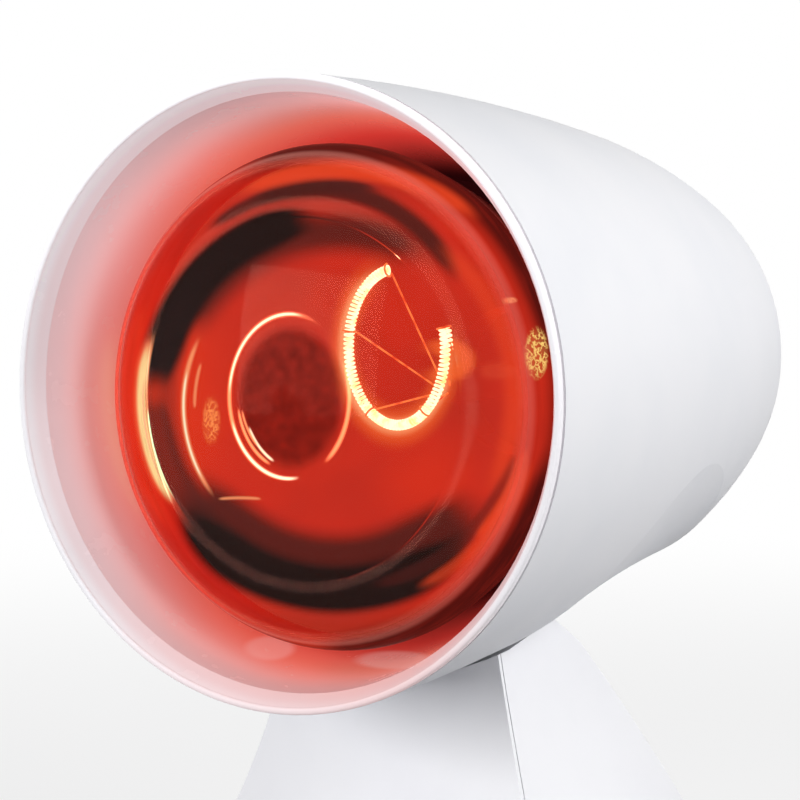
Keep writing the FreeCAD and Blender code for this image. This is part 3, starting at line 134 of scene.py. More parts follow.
class Graph:
    """The node graph of one material, or of the surroundings."""

    def __init__(self, name: str, surroundings: bool = False) -> None:
        """Starts an empty graph.

        Args:
            name: Name of the material or world that it makes.
            surroundings: Whether it is a world.
        """
        self.owner = bpy.data.worlds.new(name) if surroundings else bpy.data.materials.new(name)
        self.owner.use_nodes = True
        self.tree = self.owner.node_tree
        self.tree.nodes.clear()
        self.end = self.node("OutputWorld" if surroundings else "OutputMaterial")

    def node(self, kind: str, **fields: object) -> bpy.types.Node:
        """Adds a shader node.

        Args:
            kind: The node's type without its prefix.
            **fields: Settings of the node.

        Returns:
            The new node.
        """
        made = self.tree.nodes.new(f"ShaderNode{kind}")
        for name, value in fields.items():
            setattr(made, name, value)
        return made

    def feed(self, socket: bpy.types.NodeSocket, value: object) -> None:
        """Links a signal to an input, or sets the input to a constant.

        Args:
            socket: The input.
            value: The signal or the constant.
        """
        if isinstance(value, Signal):
            self.tree.links.new(value.socket, socket)
        else:
            socket.default_value = value

    def math(self, operation: str, first: Value, second: Value = 0.0) -> Signal:
        """Works out one number from two.

        Args:
            operation: The Math node's operation.
            first: Its first number.
            second: Its second number, where it takes one.

        Returns:
            The result.
        """
        made = self.node("Math", operation=operation)
        self.feed(made.inputs[0], first)
        self.feed(made.inputs[1], second)
        return Signal(self, made.outputs[0])

    def place(self) -> Signal:
        """The point on the surface, in the lamp's frame, in metres."""
        return Signal(self, self.node("TexCoord").outputs["Object"])

    def axes(self) -> tuple[Signal, Signal, Signal]:
        """Takes the place on the surface apart.

        Returns:
            Its coordinates across, away and up, in millimetres.
        """
        apart = self.node("SeparateXYZ")
        self.feed(apart.inputs[0], self.place())
        return tuple(Signal(self, out) * (1 / MM) for out in apart.outputs)

    def along(self, start: Vector, way: Vector) -> Signal:
        """How far the point lies along a direction.

        Args:
            start: Point from which it is measured, in metres.
            way: Unit direction.

        Returns:
            The distance in millimetres.
        """
        offset = self.node("VectorMath", operation="SUBTRACT")
        self.feed(offset.inputs[0], self.place())
        offset.inputs[1].default_value = start
        dot = self.node("VectorMath", operation="DOT_PRODUCT")
        self.tree.links.new(offset.outputs[0], dot.inputs[0])
        dot.inputs[1].default_value = way / MM
        return Signal(self, dot.outputs["Value"])

    def noise(
        self, scale: float, detail: float = 3.0, stretch: tuple = (1.0, 1.0, 1.0), rough: float = 0.5
    ) -> Signal:
        """Cloudy noise on the lamp's own coordinates.

        Args:
            scale: Clouds per metre.
            detail: Octaves.
            stretch: Factor on each axis; a small one draws the clouds out along it.
            rough: Share of the finer octaves.

        Returns:
            The noise, from 0 to 1.
        """
        mapping = self.node("Mapping")
        self.feed(mapping.inputs["Vector"], self.place())
        mapping.inputs["Scale"].default_value = stretch
        made = self.node("TexNoise")
        self.tree.links.new(mapping.outputs[0], made.inputs["Vector"])
        made.inputs["Scale"].default_value = scale
        made.inputs["Detail"].default_value = detail
        made.inputs["Roughness"].default_value = rough
        return Signal(self, made.outputs["Fac"])

    def cells(self, scale: float) -> Signal:
        """A pattern of small cells.

        Args:
            scale: Cells per metre.

        Returns:
            Distance to the middle of the nearest cell.
        """
        made = self.node("TexVoronoi")
        self.feed(made.inputs["Vector"], self.place())
        made.inputs["Scale"].default_value = scale
        return Signal(self, made.outputs["Distance"])

    def ramp(self, value: Value, low: float, high: float, start: float = 0.0, end: float = 1.0) -> Signal:
        """Turns a range of values into another, smoothly and held at its ends.

        Args:
            value: The value.
            low: Where the range begins.
            high: Where it ends.
            start: What the value becomes at low and below.
            end: What it becomes at high and above.

        Returns:
            The new value.
        """
        made = self.node("MapRange", interpolation_type="SMOOTHSTEP")
        names = ("Value", "From Min", "From Max", "To Min", "To Max")
        for name, number in zip(names, (value, low, high, start, end)):
            self.feed(made.inputs[name], number)
        return Signal(self, made.outputs["Result"])

    def spread(self, value: Value, low: float, high: float) -> Signal:
        """Maps 0 to 1 on to a range, in a straight line.

        Args:
            value: The value.
            low: What it becomes at 0.
            high: What it becomes at 1.

        Returns:
            The new value.
        """
        made = self.node("MapRange")
        for name, number in zip(("Value", "To Min", "To Max"), (value, low, high)):
            self.feed(made.inputs[name], number)
        return Signal(self, made.outputs["Result"])

    def mix(self, share: Value, first: Paint, second: Paint, blend: str = "MIX") -> Signal:
        """Mixes two colours.

        Args:
            share: How much of the second colour, from 0 to 1.
            first: Colour at 0.
            second: Colour at 1.
            blend: Way of mixing.

        Returns:
            The mixed colour.
        """
        made = self.node("Mix", data_type="RGBA", blend_type=blend)
        self.feed(made.inputs[0], share)
        self.feed(made.inputs[6], first)
        self.feed(made.inputs[7], second)
        return Signal(self, made.outputs[2])

    def bump(self, height: Value, strength: float, depth: float) -> Signal:
        """Relief from a height.

        Args:
            height: Height, from 0 to 1.
            strength: How much of it shows.
            depth: Height of 1, in millimetres.

        Returns:
            The surface direction.
        """
        made = self.node("Bump")
        made.inputs["Strength"].default_value = strength
        made.inputs["Distance"].default_value = depth * MM
        self.feed(made.inputs["Height"], height)
        return Signal(self, made.outputs[0])

    def surface(self, **inputs: object) -> bpy.types.Material:
        """Ends the graph in one Principled shader.

        Args:
            **inputs: Its inputs, with _ for a space.

        Returns:
            The finished material.
        """
        shader = self.node("BsdfPrincipled")
        for name, value in inputs.items():
            title = " ".join(part.upper() if part == "ior" else part.capitalize() for part in name.split("_"))
            self.feed(shader.inputs[title], value)
        self.tree.links.new(shader.outputs[0], self.end.inputs["Surface"])
        return self.owner


# ---------------------------------------------------------------- finishes


@dataclass(frozen=True)
class Moulding:
    """Moulded or glazed surface: slow tone changes, a fine skin and slightly uneven gloss."""

    name: str
    colour: Colour
    shade: Colour
    gloss: float = 0.3
    uneven: float = 0.06
    skin: float = 900.0
    skin_depth: float = 0.02
    swell: float = 0.25
    relief: float = 0.35
    shine: float = 0.5

    def material(self) -> bpy.types.Material:
        """Builds the finish.

        Returns:
            The material.
        """
        graph = Graph(self.name)
        tone = graph.noise(28.0, 4.0)
        grain = graph.noise(self.skin, 2.0)
        waves = graph.noise(75.0, 1.0)
        colour = graph.mix(graph.ramp(tone, 0.3, 0.75), self.colour.linear(), self.shade.linear())
        rough = graph.spread(graph.noise(140.0, 4.0), self.gloss - self.uneven, self.gloss + self.uneven)
        height = grain * (1 - self.swell) + waves * self.swell
        return graph.surface(
            base_color=colour,
            roughness=rough,
            specular_ior_level=self.shine,
            normal=graph.bump(height, self.relief, self.skin_depth),
        )


@dataclass(frozen=True)
class Metal:
    """Worked metal: fine lines along one axis, dull patches, and a plated or bare colour."""

    name: str
    colour: Colour
    tarnish: Colour
    gloss: float = 0.3
    lines: tuple = (1.0, 1.0, 12.0)
    grain: float = 900.0
    depth: float = 0.01

    def material(self) -> bpy.types.Material:
        """Builds the finish.

        Returns:
            The material.
        """
        graph = Graph(self.name)
        patches = graph.noise(90.0, 5.0, rough=0.6)
        lines = graph.noise(self.grain, 3.0, self.lines)
        colour = graph.mix(graph.ramp(patches, 0.45, 0.75), self.colour.linear(), self.tarnish.linear())
        rough = graph.spread(lines, self.gloss - 0.1, self.gloss + 0.14)
        return graph.surface(
            base_color=colour,
            metallic=1.0,
            roughness=rough,
            normal=graph.bump(lines, 0.25, self.depth),
        )


@dataclass(frozen=True)
class Casting:
    """Sand-cast iron with a thin dark lacquer."""

    name: str
    colour: Colour
    pits: Colour

    def material(self) -> bpy.types.Material:
        """Builds the finish.

        Returns:
            The material.
        """
        graph = Graph(self.name)
        sand = graph.noise(1400.0, 6.0, rough=0.7)
        lumps = graph.noise(260.0, 3.0)
        colour = graph.mix(graph.ramp(sand, 0.35, 0.65), self.pits.linear(), self.colour.linear())
        height = sand * 0.6 + lumps * 0.4
        return graph.surface(
            base_color=colour,
            metallic=0.6,
            roughness=graph.spread(sand, 0.5, 0.8),
            normal=graph.bump(height, 0.7, 0.12),
        )


@dataclass(frozen=True)
class Rubber:
    """Soft moulded rubber: matt, finely stippled, a little dusty."""

    name: str
    colour: Colour
    dust: Colour
    stipple: float = 2200.0

    def material(self) -> bpy.types.Material:
        """Builds the finish.

        Returns:
            The material.
        """
        graph = Graph(self.name)
        stipple = graph.cells(self.stipple)
        dust = graph.ramp(graph.noise(160.0, 5.0, rough=0.65), 0.5, 0.8)
        return graph.surface(
            base_color=graph.mix(dust * 0.5, self.colour.linear(), self.dust.linear()),
            roughness=graph.spread(dust, 0.62, 0.85),
            normal=graph.bump(stipple, 0.3, 0.03),
        )


@dataclass(frozen=True)
class Viewpoint:
    """Where the lamp is looked at from, which is also the side that the painted reflections and painted shade
    in the bulb are laid out for.

    The aim is written as a heading and a pitch, because the mouth's middle stands left of the frame's middle.
    """

    mouth: Vector
    azimuth: float = 33.1
    elevation: float = 3.4
    distance: float = 0.5
    heading: float = 30.466
    pitch: float = -3.503

    def eye(self) -> Vector:
        """The point that it looks from.

        Returns:
            The point, in metres.
        """
        side, rise = math.radians(self.azimuth), math.radians(self.elevation)
        back = Vector((math.sin(side) * math.cos(rise), -math.cos(side) * math.cos(rise), math.sin(rise)))
        return self.mouth + back * self.distance

    def turn(self) -> Matrix:
        """Rotation whose -Z looks along the aim and whose X and Y are the frame's right and up."""
        upright = Matrix.Rotation(math.radians(90 + self.pitch), 3, "X")
        return Matrix.Rotation(math.radians(self.heading), 3, "Z") @ upright


@dataclass(frozen=True)
class Stroke:
    """A bowed mark of light or shade in the bulb, part of an ellipse round a middle.

    Lengths are millimetres on the glow's plan, and angles are degrees from the right, up being 90. Reach is
    the angle from the mark's middle to either end. Half is half the width in the middle, and taper the share
    of it that is left at the ends.
    """

    colour: Colour
    middle: tuple
    radii: tuple
    angle: float
    reach: float
    half: float
    soft: float
    strength: float = 1.0
    taper: float = 0.0


@dataclass(frozen=True)
class Patch:
    """A soft oval mark of light or shade, which crazing can break up."""

    colour: Colour
    middle: tuple
    radii: tuple
    soft: float
    strength: float = 1.0
    crazed: float = 0.0


class BulbGlow:
    """The lit bulb's red glow with painted reflections, painted highlights and painted shade in bands, laid
    out on a plan across the bulb's face.

    RING is the middle of the round bands and OUTLINE that of the bulb's edge. GLARE is brighter than white,
    because it is seen through the red glass. WASHES counts the patches of painted light and shade that lie
    under the strokes.
    """

    PLAN_SPAN = 500.0
    RING = (11.7, -0.3)
    OUTLINE = (11.4, -0.4)
    WASHES = 5
    # GROUND and CLOUD are the bulb's own red glow. DEEP, BROWN and WINE are painted dark reflections, EDGE is
    # painted shade along the bulb's edge, and EMBER, HALO, AMBER, FLAME and GLARE are painted highlights and
    # the painted glow and reflections of the coil.
    GROUND = Colour(202, 43, 25)
    CLOUD = Colour(184, 40, 26)
    DEEP = Colour(22, 14, 12)
    BROWN = Colour(72, 26, 22)
    EDGE = Colour(56, 14, 12)
    WINE = Colour(130, 34, 24)
    EMBER = Colour(232, 70, 34)
    HALO = Colour(244, 100, 44)
    AMBER = Colour(250, 150, 100)
    FLAME = Colour(255, 240, 200)
    GLARE = Colour(260, 306, 232)

    def __init__(self, viewpoint: Viewpoint) -> None:
        """Keeps the side that the glow is laid out for.

        Args:
            viewpoint: That side.
        """
        turn = viewpoint.turn()
        self.eye = viewpoint.eye()
        self.right = turn @ Vector((1, 0, 0))
        self.up = turn @ Vector((0, 1, 0))
        self.ahead = turn @ Vector((0, 0, -1))
        middle = viewpoint.mouth - self.eye
        scale = self.PLAN_SPAN / middle.dot(self.ahead)
        self.shift = (middle.dot(self.right) * scale, middle.dot(self.up) * scale)

    def plan(self, graph: Graph) -> tuple[Signal, Signal]:
        """Finds where a point of the surface lies on the plan.

        Args:
            graph: The material's graph.

        Returns:
            Coordinates across and up the plan, in millimetres from the mouth's middle.
        """
        depth = graph.along(self.eye, self.ahead) * (1 / self.PLAN_SPAN)
        across = graph.along(self.eye, self.right) / depth - self.shift[0]
        up = graph.along(self.eye, self.up) / depth - self.shift[1]
        return across, up

    def strokes(self) -> list[Stroke]:
        """The bowed marks.

        Returns:
            The marks, those below first.
        """
        ring, high = self.RING, (7.6, 9.1)
        # Painted dark reflections and painted shade first, then painted highlights and the painted glow and
        # reflections of the coil.
        return [
            Stroke(self.WINE, ring, (30.4, 30.4), 184.0, 34.0, 0.7, 1.8, 0.6),
            Stroke(self.WINE, (11.7, 1.6), (30.2, 29.0), 82.0, 36.0, 1.0, 3.2, 0.55),
            Stroke(self.BROWN, ring, (29.4, 29.6), 108.0, 52.0, 1.6, 3.6, 0.85, 0.5),
            Stroke(self.DEEP, ring, (32.8, 32.6), 138.0, 44.0, 3.0, 1.8, 1.0, 0.3),
            Stroke(self.BROWN, ring, (32.4, 32.6), 212.0, 36.0, 1.5, 1.6, 0.8, 0.3),
            Stroke(self.BROWN, ring, (30.4, 30.6), 266.0, 62.0, 4.0, 3.6, 0.95, 0.3),
            Stroke(self.DEEP, ring, (34.9, 34.9), 264.0, 54.0, 3.6, 2.0, 1.0, 0.1),
            Stroke(self.BROWN, high, (28.3, 28.3), 70.0, 48.0, 1.1, 1.8, 0.95, 0.4),
            Stroke(self.BROWN, ring, (38.6, 38.4), 103.0, 26.0, 0.7, 1.1, 0.9),
            Stroke(self.BROWN, ring, (34.0, 34.6), 312.0, 34.0, 0.8, 1.2, 0.6),
            Stroke(self.EDGE, self.OUTLINE, (39.9, 45.8), 62.0, 58.0, 1.3, 3.0, 0.9, 0.3),
            Stroke(self.EDGE, self.OUTLINE, (39.9, 45.8), 306.0, 44.0, 1.5, 3.0, 0.95, 0.2),
            Stroke(self.EDGE, self.OUTLINE, (39.9, 45.8), 358.0, 60.0, 0.5, 2.2, 0.6, 0.5),
            Stroke(self.EMBER, ring, (32.0, 33.4), 12.0, 46.0, 0.8, 2.2, 0.5),
            Stroke(self.EMBER, ring, (36.6, 37.6), 318.0, 26.0, 0.5, 1.3, 0.5),
            Stroke(self.EMBER, ring, (40.9, 41.2), 84.0, 34.0, 0.9, 1.5, 0.8, 0.2),
            Stroke(self.EMBER, ring, (35.4, 36.2), 330.0, 16.0, 0.5, 1.0, 0.6),
            Stroke(self.EMBER, ring, (38.4, 39.0), 186.0, 34.0, 0.8, 1.8, 0.7),
            Stroke(self.AMBER, ring, (35.5, 35.9), 187.0, 27.0, 1.0, 1.1, 0.95, 0.2),
            Stroke(self.GLARE, ring, (35.6, 36.0), 188.0, 25.0, 0.55, 0.7, 1.0, 0.1),
            Stroke(self.FLAME, ring, (35.3, 35.7), 190.0, 17.0, 0.08, 0.25, 0.8, 0.2),
            Stroke(self.GLARE, ring, (34.4, 34.8), 198.0, 15.0, 0.12, 0.4, 0.9, 0.2),
            Stroke(self.AMBER, (11.0, -1.8), (27.2, 27.4), 185.0, 33.0, 0.22, 0.5, 0.9, 0.2),
            Stroke(self.FLAME, (11.0, -1.8), (27.2, 27.4), 188.0, 22.0, 0.06, 0.3, 0.9, 0.2),
            Stroke(self.AMBER, (11.0, -1.8), (25.2, 25.4), 172.0, 10.0, 0.14, 0.35, 0.7, 0.2),
            Stroke(self.AMBER, (-6.0, -58.0), (39.4, 39.4), 90.0, 6.0, 0.12, 0.35, 0.8, 0.2),
            Stroke(self.HALO, (22.4, 8.7), (9.6, 14.4), 237.5, 150.0, 0.9, 2.4, 0.8, 0.8),
            Stroke(self.AMBER, (22.4, 8.7), (9.6, 14.4), 237.5, 146.0, 0.5, 1.0, 0.9, 0.8),
            Stroke(self.HALO, (30.5, 6.2), (3.6, 2.4), 0.0, 170.0, 0.8, 1.4, 0.7, 1.0),
        ]

    def patches(self) -> list[Patch]:
        """The oval marks.

        Returns:
            The marks, those below first.
        """
        # The first WASHES patches are painted light and shade across the bulb: lighter on the left and lower
        # right, darker at the top, bottom and right. The rest are painted highlights, some broken up by
        # crazing.
        return [
            Patch(Colour(222, 52, 20), (-24.0, 0.0), (22.0, 36.0), 0.8, 0.85),
            Patch(Colour(168, 42, 30), (16.0, 44.0), (44.0, 14.0), 0.8, 0.8),
            Patch(Colour(168, 42, 26), (10.0, -44.0), (40.0, 10.0), 0.8, 0.8),
            Patch(Colour(170, 38, 26), (34.0, 4.0), (12.0, 20.0), 0.9, 0.45),
            Patch(Colour(216, 47, 22), (28.0, -16.0), (13.0, 11.0), 0.9, 0.6),
            Patch(Colour(255, 150, 80), (-11.2, -4.6), (1.9, 5.0), 0.5, 0.9, 0.8),
            Patch(Colour(255, 214, 120), (47.7, 7.6), (2.4, 5.2), 0.35, 1.0, 0.9),
            Patch(Colour(255, 150, 100), (43.0, 17.2), (1.5, 0.7), 0.5, 0.9, 0.4),
            Patch(Colour(226, 80, 50), (40.5, 4.4), (4.4, 2.2), 0.6, 0.5, 0.7),
        ]

    def follow(self, graph: Graph, plan: tuple[Signal, Signal], stroke: Stroke) -> Signal:
        """Where a stroke lies.

        Args:
            graph: The material's graph.
            plan: Coordinates on the plan.
            stroke: The mark.

        Returns:
            Its cover, from 0 to its strength.
        """
        across = (plan[0] - stroke.middle[0]) / stroke.radii[0]
        up = (plan[1] - stroke.middle[1]) / stroke.radii[1]
        out = graph.math("SQRT", across * across + up * up)
        turn = math.radians(stroke.angle)
        aligned = (across * math.cos(turn) + up * math.sin(turn)) / out
        reach = math.cos(math.radians(stroke.reach))
        swell = graph.ramp(aligned, reach, 1 - (1 - reach) * 0.25, stroke.half * stroke.taper, stroke.half)
        edge = ((out - 1.0) * min(stroke.radii)).size() - swell
        line = graph.ramp(edge, -0.25 * stroke.soft, stroke.soft, 1.0, 0.0)
        ends = graph.ramp(aligned, reach, 1 - (1 - reach) * 0.55)
        return line * ends * stroke.strength

    def cover(self, graph: Graph, plan: tuple[Signal, Signal], patch: Patch) -> Signal:
        """Where a patch lies.

        Args:
            graph: The material's graph.
            plan: Coordinates on the plan.
            patch: The mark.

        Returns:
            Its cover, from 0 to its strength.
        """
        across = (plan[0] - patch.middle[0]) / patch.radii[0]
        up = (plan[1] - patch.middle[1]) / patch.radii[1]
        out = graph.math("SQRT", across * across + up * up)
        inside = graph.ramp(out, 1 - patch.soft, 1.0, 1.0, 0.0)
        if patch.crazed:
            veins = graph.ramp((graph.noise(900.0, 4.0) - 0.5).size(), 0.0, 0.09, 1.0, 1 - patch.crazed)
            inside = inside * veins
        return inside * patch.strength

    def paint(self, graph: Graph) -> Signal:
        """Lays the painted reflections, highlights, light and shade over one another on the bulb's ground
        colour.

        Args:
            graph: The material's graph.

        Returns:
            The colour of the glow.
        """
        plan = self.plan(graph)
        cloud = graph.ramp(graph.noise(60.0, 4.0, (1.0, 0.5, 1.0)), 0.35, 0.7)
        colour = graph.mix(cloud * 0.6, self.GROUND.linear(), self.CLOUD.linear())
        patches = self.patches()
        for patch in patches[:self.WASHES]:
            colour = graph.mix(self.cover(graph, plan, patch), colour, patch.colour.linear())
        for stroke in self.strokes():
            colour = graph.mix(self.follow(graph, plan, stroke), colour, stroke.colour.linear())
        for patch in patches[self.WASHES:]:
            colour = graph.mix(self.cover(graph, plan, patch), colour, patch.colour.linear())
        return colour

    def paint_behind(self, graph: Graph) -> Signal:
        """The glow with its painted reflections and shade on what is seen through the red glass, stronger by
        what the glass takes away.
        """
        gain = tuple(1 / channel for channel in GLASS_TINT) + (1.0,)
        return graph.mix(1.0, self.paint(graph), gain, "MULTIPLY")


@dataclass(frozen=True)
class MirrorCoat:
    """Bright coat behind the red glass, carrying the glow of the lit bulb with its painted reflections,
    painted highlights and painted shade.
    """

    name: str
    glow: BulbGlow
    base: Colour = Colour(18, 6, 6)

    def material(self) -> bpy.types.Material:
        """Builds the finish.

        Returns:
            The material.
        """
        graph = Graph(self.name)
        return graph.surface(
            base_color=self.base.linear(),
            specular_ior_level=0.0,
            roughness=graph.spread(graph.noise(300.0, 3.0), 0.5, 0.7),
            emission_color=self.glow.paint_behind(graph),
            emission_strength=1.0,
        )


@dataclass(frozen=True)
class RubyGlass:
    """The bulb's envelope: clear red face with an oval print ringed by painted highlights, red shoulder
    glowing with painted reflections and painted shade, silvered back.

    The clear face ends at edge and the silvered back begins at silver. The neck begins at neck_back.
    """

    name: str
    glow: BulbGlow
    edge: float = 13.0
    silver: float = 25.0
    neck: float = 17.0
    neck_back: float = 94.0
    wall: float = 1.1

    FIELD = Patch(Colour(84, 24, 18), (3.2, -0.4), (10.6, 14.2), 0.25)
    STREAK = Colour(150, 34, 24)
    DARK_EDGE = Colour(44, 10, 8)
    SHOULDER = Colour(44, 8, 6)
    SILVER = Colour(206, 204, 200)

    def painted_print_highlights(self, graph: Graph) -> Signal:
        """Painted highlights round the oval print in the middle of the face: bright broken lines round a dark
        mottled field.

        Args:
            graph: The material's graph.

        Returns:
            The light of the painted highlights round the print.
        """
        plan = self.glow.plan(graph)
        marks = [
            Stroke(BulbGlow.AMBER, (3.0, -0.2), (10.9, 14.9), 170.0, 112.0, 0.1, 0.42, 0.9, 0.1),
            Stroke(BulbGlow.FLAME, (3.0, -0.2), (10.9, 14.9), 128.0, 52.0, 0.04, 0.26, 1.0, 0.16),
            Stroke(BulbGlow.FLAME, (3.0, -0.2), (10.9, 14.9), 238.0, 42.0, 0.06, 0.3, 1.0, 0.3),
            Stroke(BulbGlow.AMBER, (3.4, -0.2), (9.8, 13.4), 218.0, 30.0, 0.08, 0.3, 0.9, 0.1),
            Stroke(BulbGlow.FLAME, (4.2, 0.4), (9.6, 13.6), 226.0, 20.0, 0.06, 0.25, 0.9, 0.1),
            Stroke(BulbGlow.AMBER, (2.6, 1.0), (8.6, 13.0), 214.0, 18.0, 0.05, 0.25, 0.8, 0.1),
            Stroke(BulbGlow.AMBER, (3.2, -0.4), (10.6, 14.4), 346.0, 42.0, 0.14, 0.45, 0.85, 0.1),
        ]
        colour = BLACK
        for mark in marks:
            colour = graph.mix(self.glow.follow(graph, plan, mark), colour, mark.colour.linear())
        return colour

    def lining(self, graph: Graph) -> Signal:
        """Tells the inside of the neck, where the glow shows, from the silvered outside.

        Args:
            graph: The material's graph.

        Returns:
            1 on the inside and 0 on the outside.
        """
        across, back, up = graph.axes()
        back = back - RIM_PLANE
        off = up - AXIS_HEIGHT
        round_axis = graph.math("SQRT", across * across + off * off)
        narrow = self.neck - self.wall / 2
        middle = graph.ramp(back, self.neck_back - 4.0, self.neck_back, narrow + 2.45, narrow)
        return graph.ramp(round_axis - middle, -0.2, 0.2, 1.0, 0.0) * graph.ramp(back, 78.0, 80.0)

    def material(self) -> bpy.types.Material:
        """Builds the finish.

        Returns:
            The material.
        """
        graph = Graph(self.name)
        back = graph.axes()[1] - RIM_PLANE
        shoulder = graph.ramp(back, self.edge - 1.0, self.edge + 2.0)
        silvered = graph.ramp(back, self.silver, self.silver + 0.6)
        plan = self.glow.plan(graph)
        mottle = graph.spread(graph.noise(420.0, 5.0, rough=0.65), 0.3, 1.0)
        printed = self.glow.cover(graph, plan, self.FIELD) * mottle * shoulder.flipped()
        streaks = graph.noise(240.0, 4.0, (0.4, 3.0, 0.4))
        streaked = graph.ramp(streaks, 0.4, 0.75) * 0.25
        ring = graph.mix(streaked, self.glow.paint(graph), self.STREAK.linear())
        # Painted shade: the glow darkens towards DARK_EDGE where the glass turns from view, more on the far
        # side.
        facing = graph.node("LayerWeight")
        facing.inputs["Blend"].default_value = 0.35
        turned = graph.ramp(Signal(graph, facing.outputs["Facing"]), 0.55, 0.9)
        far = graph.ramp(plan[0], -24.0, 16.0, 0.35, 1.0)
        ring = graph.mix(turned * far * 0.9, ring, self.DARK_EDGE.linear())
        inside = self.lining(graph)
        glow = graph.mix(shoulder, self.painted_print_highlights(graph), ring)
        glow = graph.mix(silvered, glow, BLACK)
        glow = graph.mix(inside, glow, self.glow.paint_behind(graph))
        base = graph.mix(printed, GLASS_TINT + (1.0,), self.FIELD.colour.linear())
        base = graph.mix(shoulder, base, self.SHOULDER.linear())
        base = graph.mix(silvered, base, self.SILVER.linear())
        base = graph.mix(inside, base, MirrorCoat.base.linear())
        return graph.surface(
            base_color=base,
            transmission_weight=shoulder.flipped() * silvered.flipped(),
            metallic=silvered * inside.flipped() * 0.9,
            roughness=graph.ramp(back, self.edge, self.silver, 0.02, 0.12),
            ior=1.12,
            specular_ior_level=0.05,
            emission_color=glow,
            emission_strength=1.0,
        )


@dataclass(frozen=True)
class HotWire:
    """Wire that glows: white-yellow in the middle of each turn, orange towards its ends. On the coil the glow
    is its own heat; on the support wires it is painted light from the coil.
    """

    name: str
    core: Colour
    edge: Colour
    strength: float

    def material(self) -> bpy.types.Material:
        """Builds the finish.

        Returns:
            The material.
        """
        graph = Graph(self.name)
        heat = graph.ramp(graph.noise(500.0, 3.0), 0.25, 0.6)
        return graph.surface(
            base_color=Colour(60, 40, 30).linear(),
            metallic=1.0,
            roughness=0.4,
            emission_color=graph.mix(heat, self.edge.linear(), self.core.linear()),
            emission_strength=self.strength,
        )


@dataclass(frozen=True)
class ShadeEnamelPaintedGlow:
    """White enamel inside the shade with the bulb's red light painted on it: pink at the mouth, salmon beside
    the bulb, painted dark red shade deep down.
    """

    name: str
    glow: BulbGlow
    white: Colour = Colour(240, 238, 242)
    blush: Colour = Colour(236, 222, 226)
    rose: Colour = Colour(236, 200, 200)
    salmon: Colour = Colour(242, 130, 112)
    ruby: Colour = Colour(222, 66, 58)
    night: Colour = Colour(40, 6, 8)

    REFLECTIONS = (
        Patch(Colour(255, 206, 200), (-0.6, -45.8), (5.4, 2.6), 0.4, 0.4),
        Patch(Colour(255, 206, 200), (22.0, -48.0), (8.4, 2.0), 0.4, 0.35),
    )

    def material(self) -> bpy.types.Material:
        """Builds the finish.

        Returns:
            The material.
        """
        graph = Graph(self.name)
        across, back, up = graph.axes()
        back = back - RIM_PLANE
        height = up - AXIS_HEIGHT
        # Painted shade: the deep colours reach nearer the mouth at the bottom, the top and the right side.
        painted_shade_offset = graph.ramp(height, -58.0, -24.0, 12.0, 0.0) + graph.ramp(height, 20.0, 58.0, 0.0, 4.0)
        painted_shade_offset = painted_shade_offset + graph.ramp(across, 0.0, 40.0, 0.0, 5.0)
        depth = back + painted_shade_offset + (graph.noise(30.0, 3.0) - 0.5) * 3.0
        # The bulb's red light painted on the white enamel, deepening to dark red painted shade at the back.
        colour = graph.mix(graph.ramp(back, 0.8, 3.0), self.white.linear(), self.blush.linear())
        bands = (
            (self.rose, 5.0, 18.0),
            (self.salmon, 13.0, 33.0),
            (self.ruby, 28.0, 44.0),
            (self.night, 40.0, 62.0),
        )
        for deeper, start, end in bands:
            colour = graph.mix(graph.ramp(depth, start, end), colour, deeper.linear())
        # Painted reflections on the glossy enamel.
        plan = self.glow.plan(graph)
        for patch in self.REFLECTIONS:
            colour = graph.mix(self.glow.cover(graph, plan, patch), colour, patch.colour.linear())
        # Painted light: the enamel glows in its own colours, more deep down, towards the top, at the bottom
        # edge, and just in front of the crease behind the lip.
        lit = graph.ramp(back, 1.0, 18.0, 0.03, 0.32) + graph.ramp(height, 0.0, 56.0, 0.0, 0.26)
        lit = lit + graph.ramp(height, -56.0, -30.0, 0.08, 0.0) + graph.ramp(back, 4.0, 4.4, 0.05, 0.0)
        skin = graph.noise(1100.0, 2.0) * 0.6 + graph.noise(80.0, 1.0) * 0.4
        return graph.surface(
            base_color=colour,
            roughness=graph.spread(graph.noise(130.0, 4.0), 0.2, 0.32),
            emission_color=colour,
            emission_strength=lit,
            normal=graph.bump(skin, 0.12, 0.005),
        )


# ---------------------------------------------------------------- pieces


def dress(node: str, material: bpy.types.Material) -> None:
    """Puts a material on a node's object.

    Args:
        node: Name of the node.
        material: Its finish.
    """
    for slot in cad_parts[node].material_slots:
        slot.material = material
    LOG.info("finish of %s: %s", node, material.name)


@dataclass(frozen=True)
class Piece:
    """A piece that is finer than the solid it stands for."""

    name: str
    body: Body
    slot: str
    nodes: tuple

    def add(self, mesh: bpy.types.Mesh, material: bpy.types.Material) -> bpy.types.Object:
        """Puts the piece in the scene.

        Args:
            mesh: Its mesh, in the lamp's frame.
            material: Its finish.

        Returns:
            The new object.
        """
        mesh.name = self.name
        made = bpy.data.objects.new(self.name, mesh)
        bpy.context.scene.collection.objects.link(made)
        mesh.materials.clear()
        mesh.materials.append(material)
        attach(made, self.body.value)
        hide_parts(*self.nodes)
        LOG.info("piece %s: %d faces on %s", self.name, len(mesh.polygons), self.body.value)
        return made


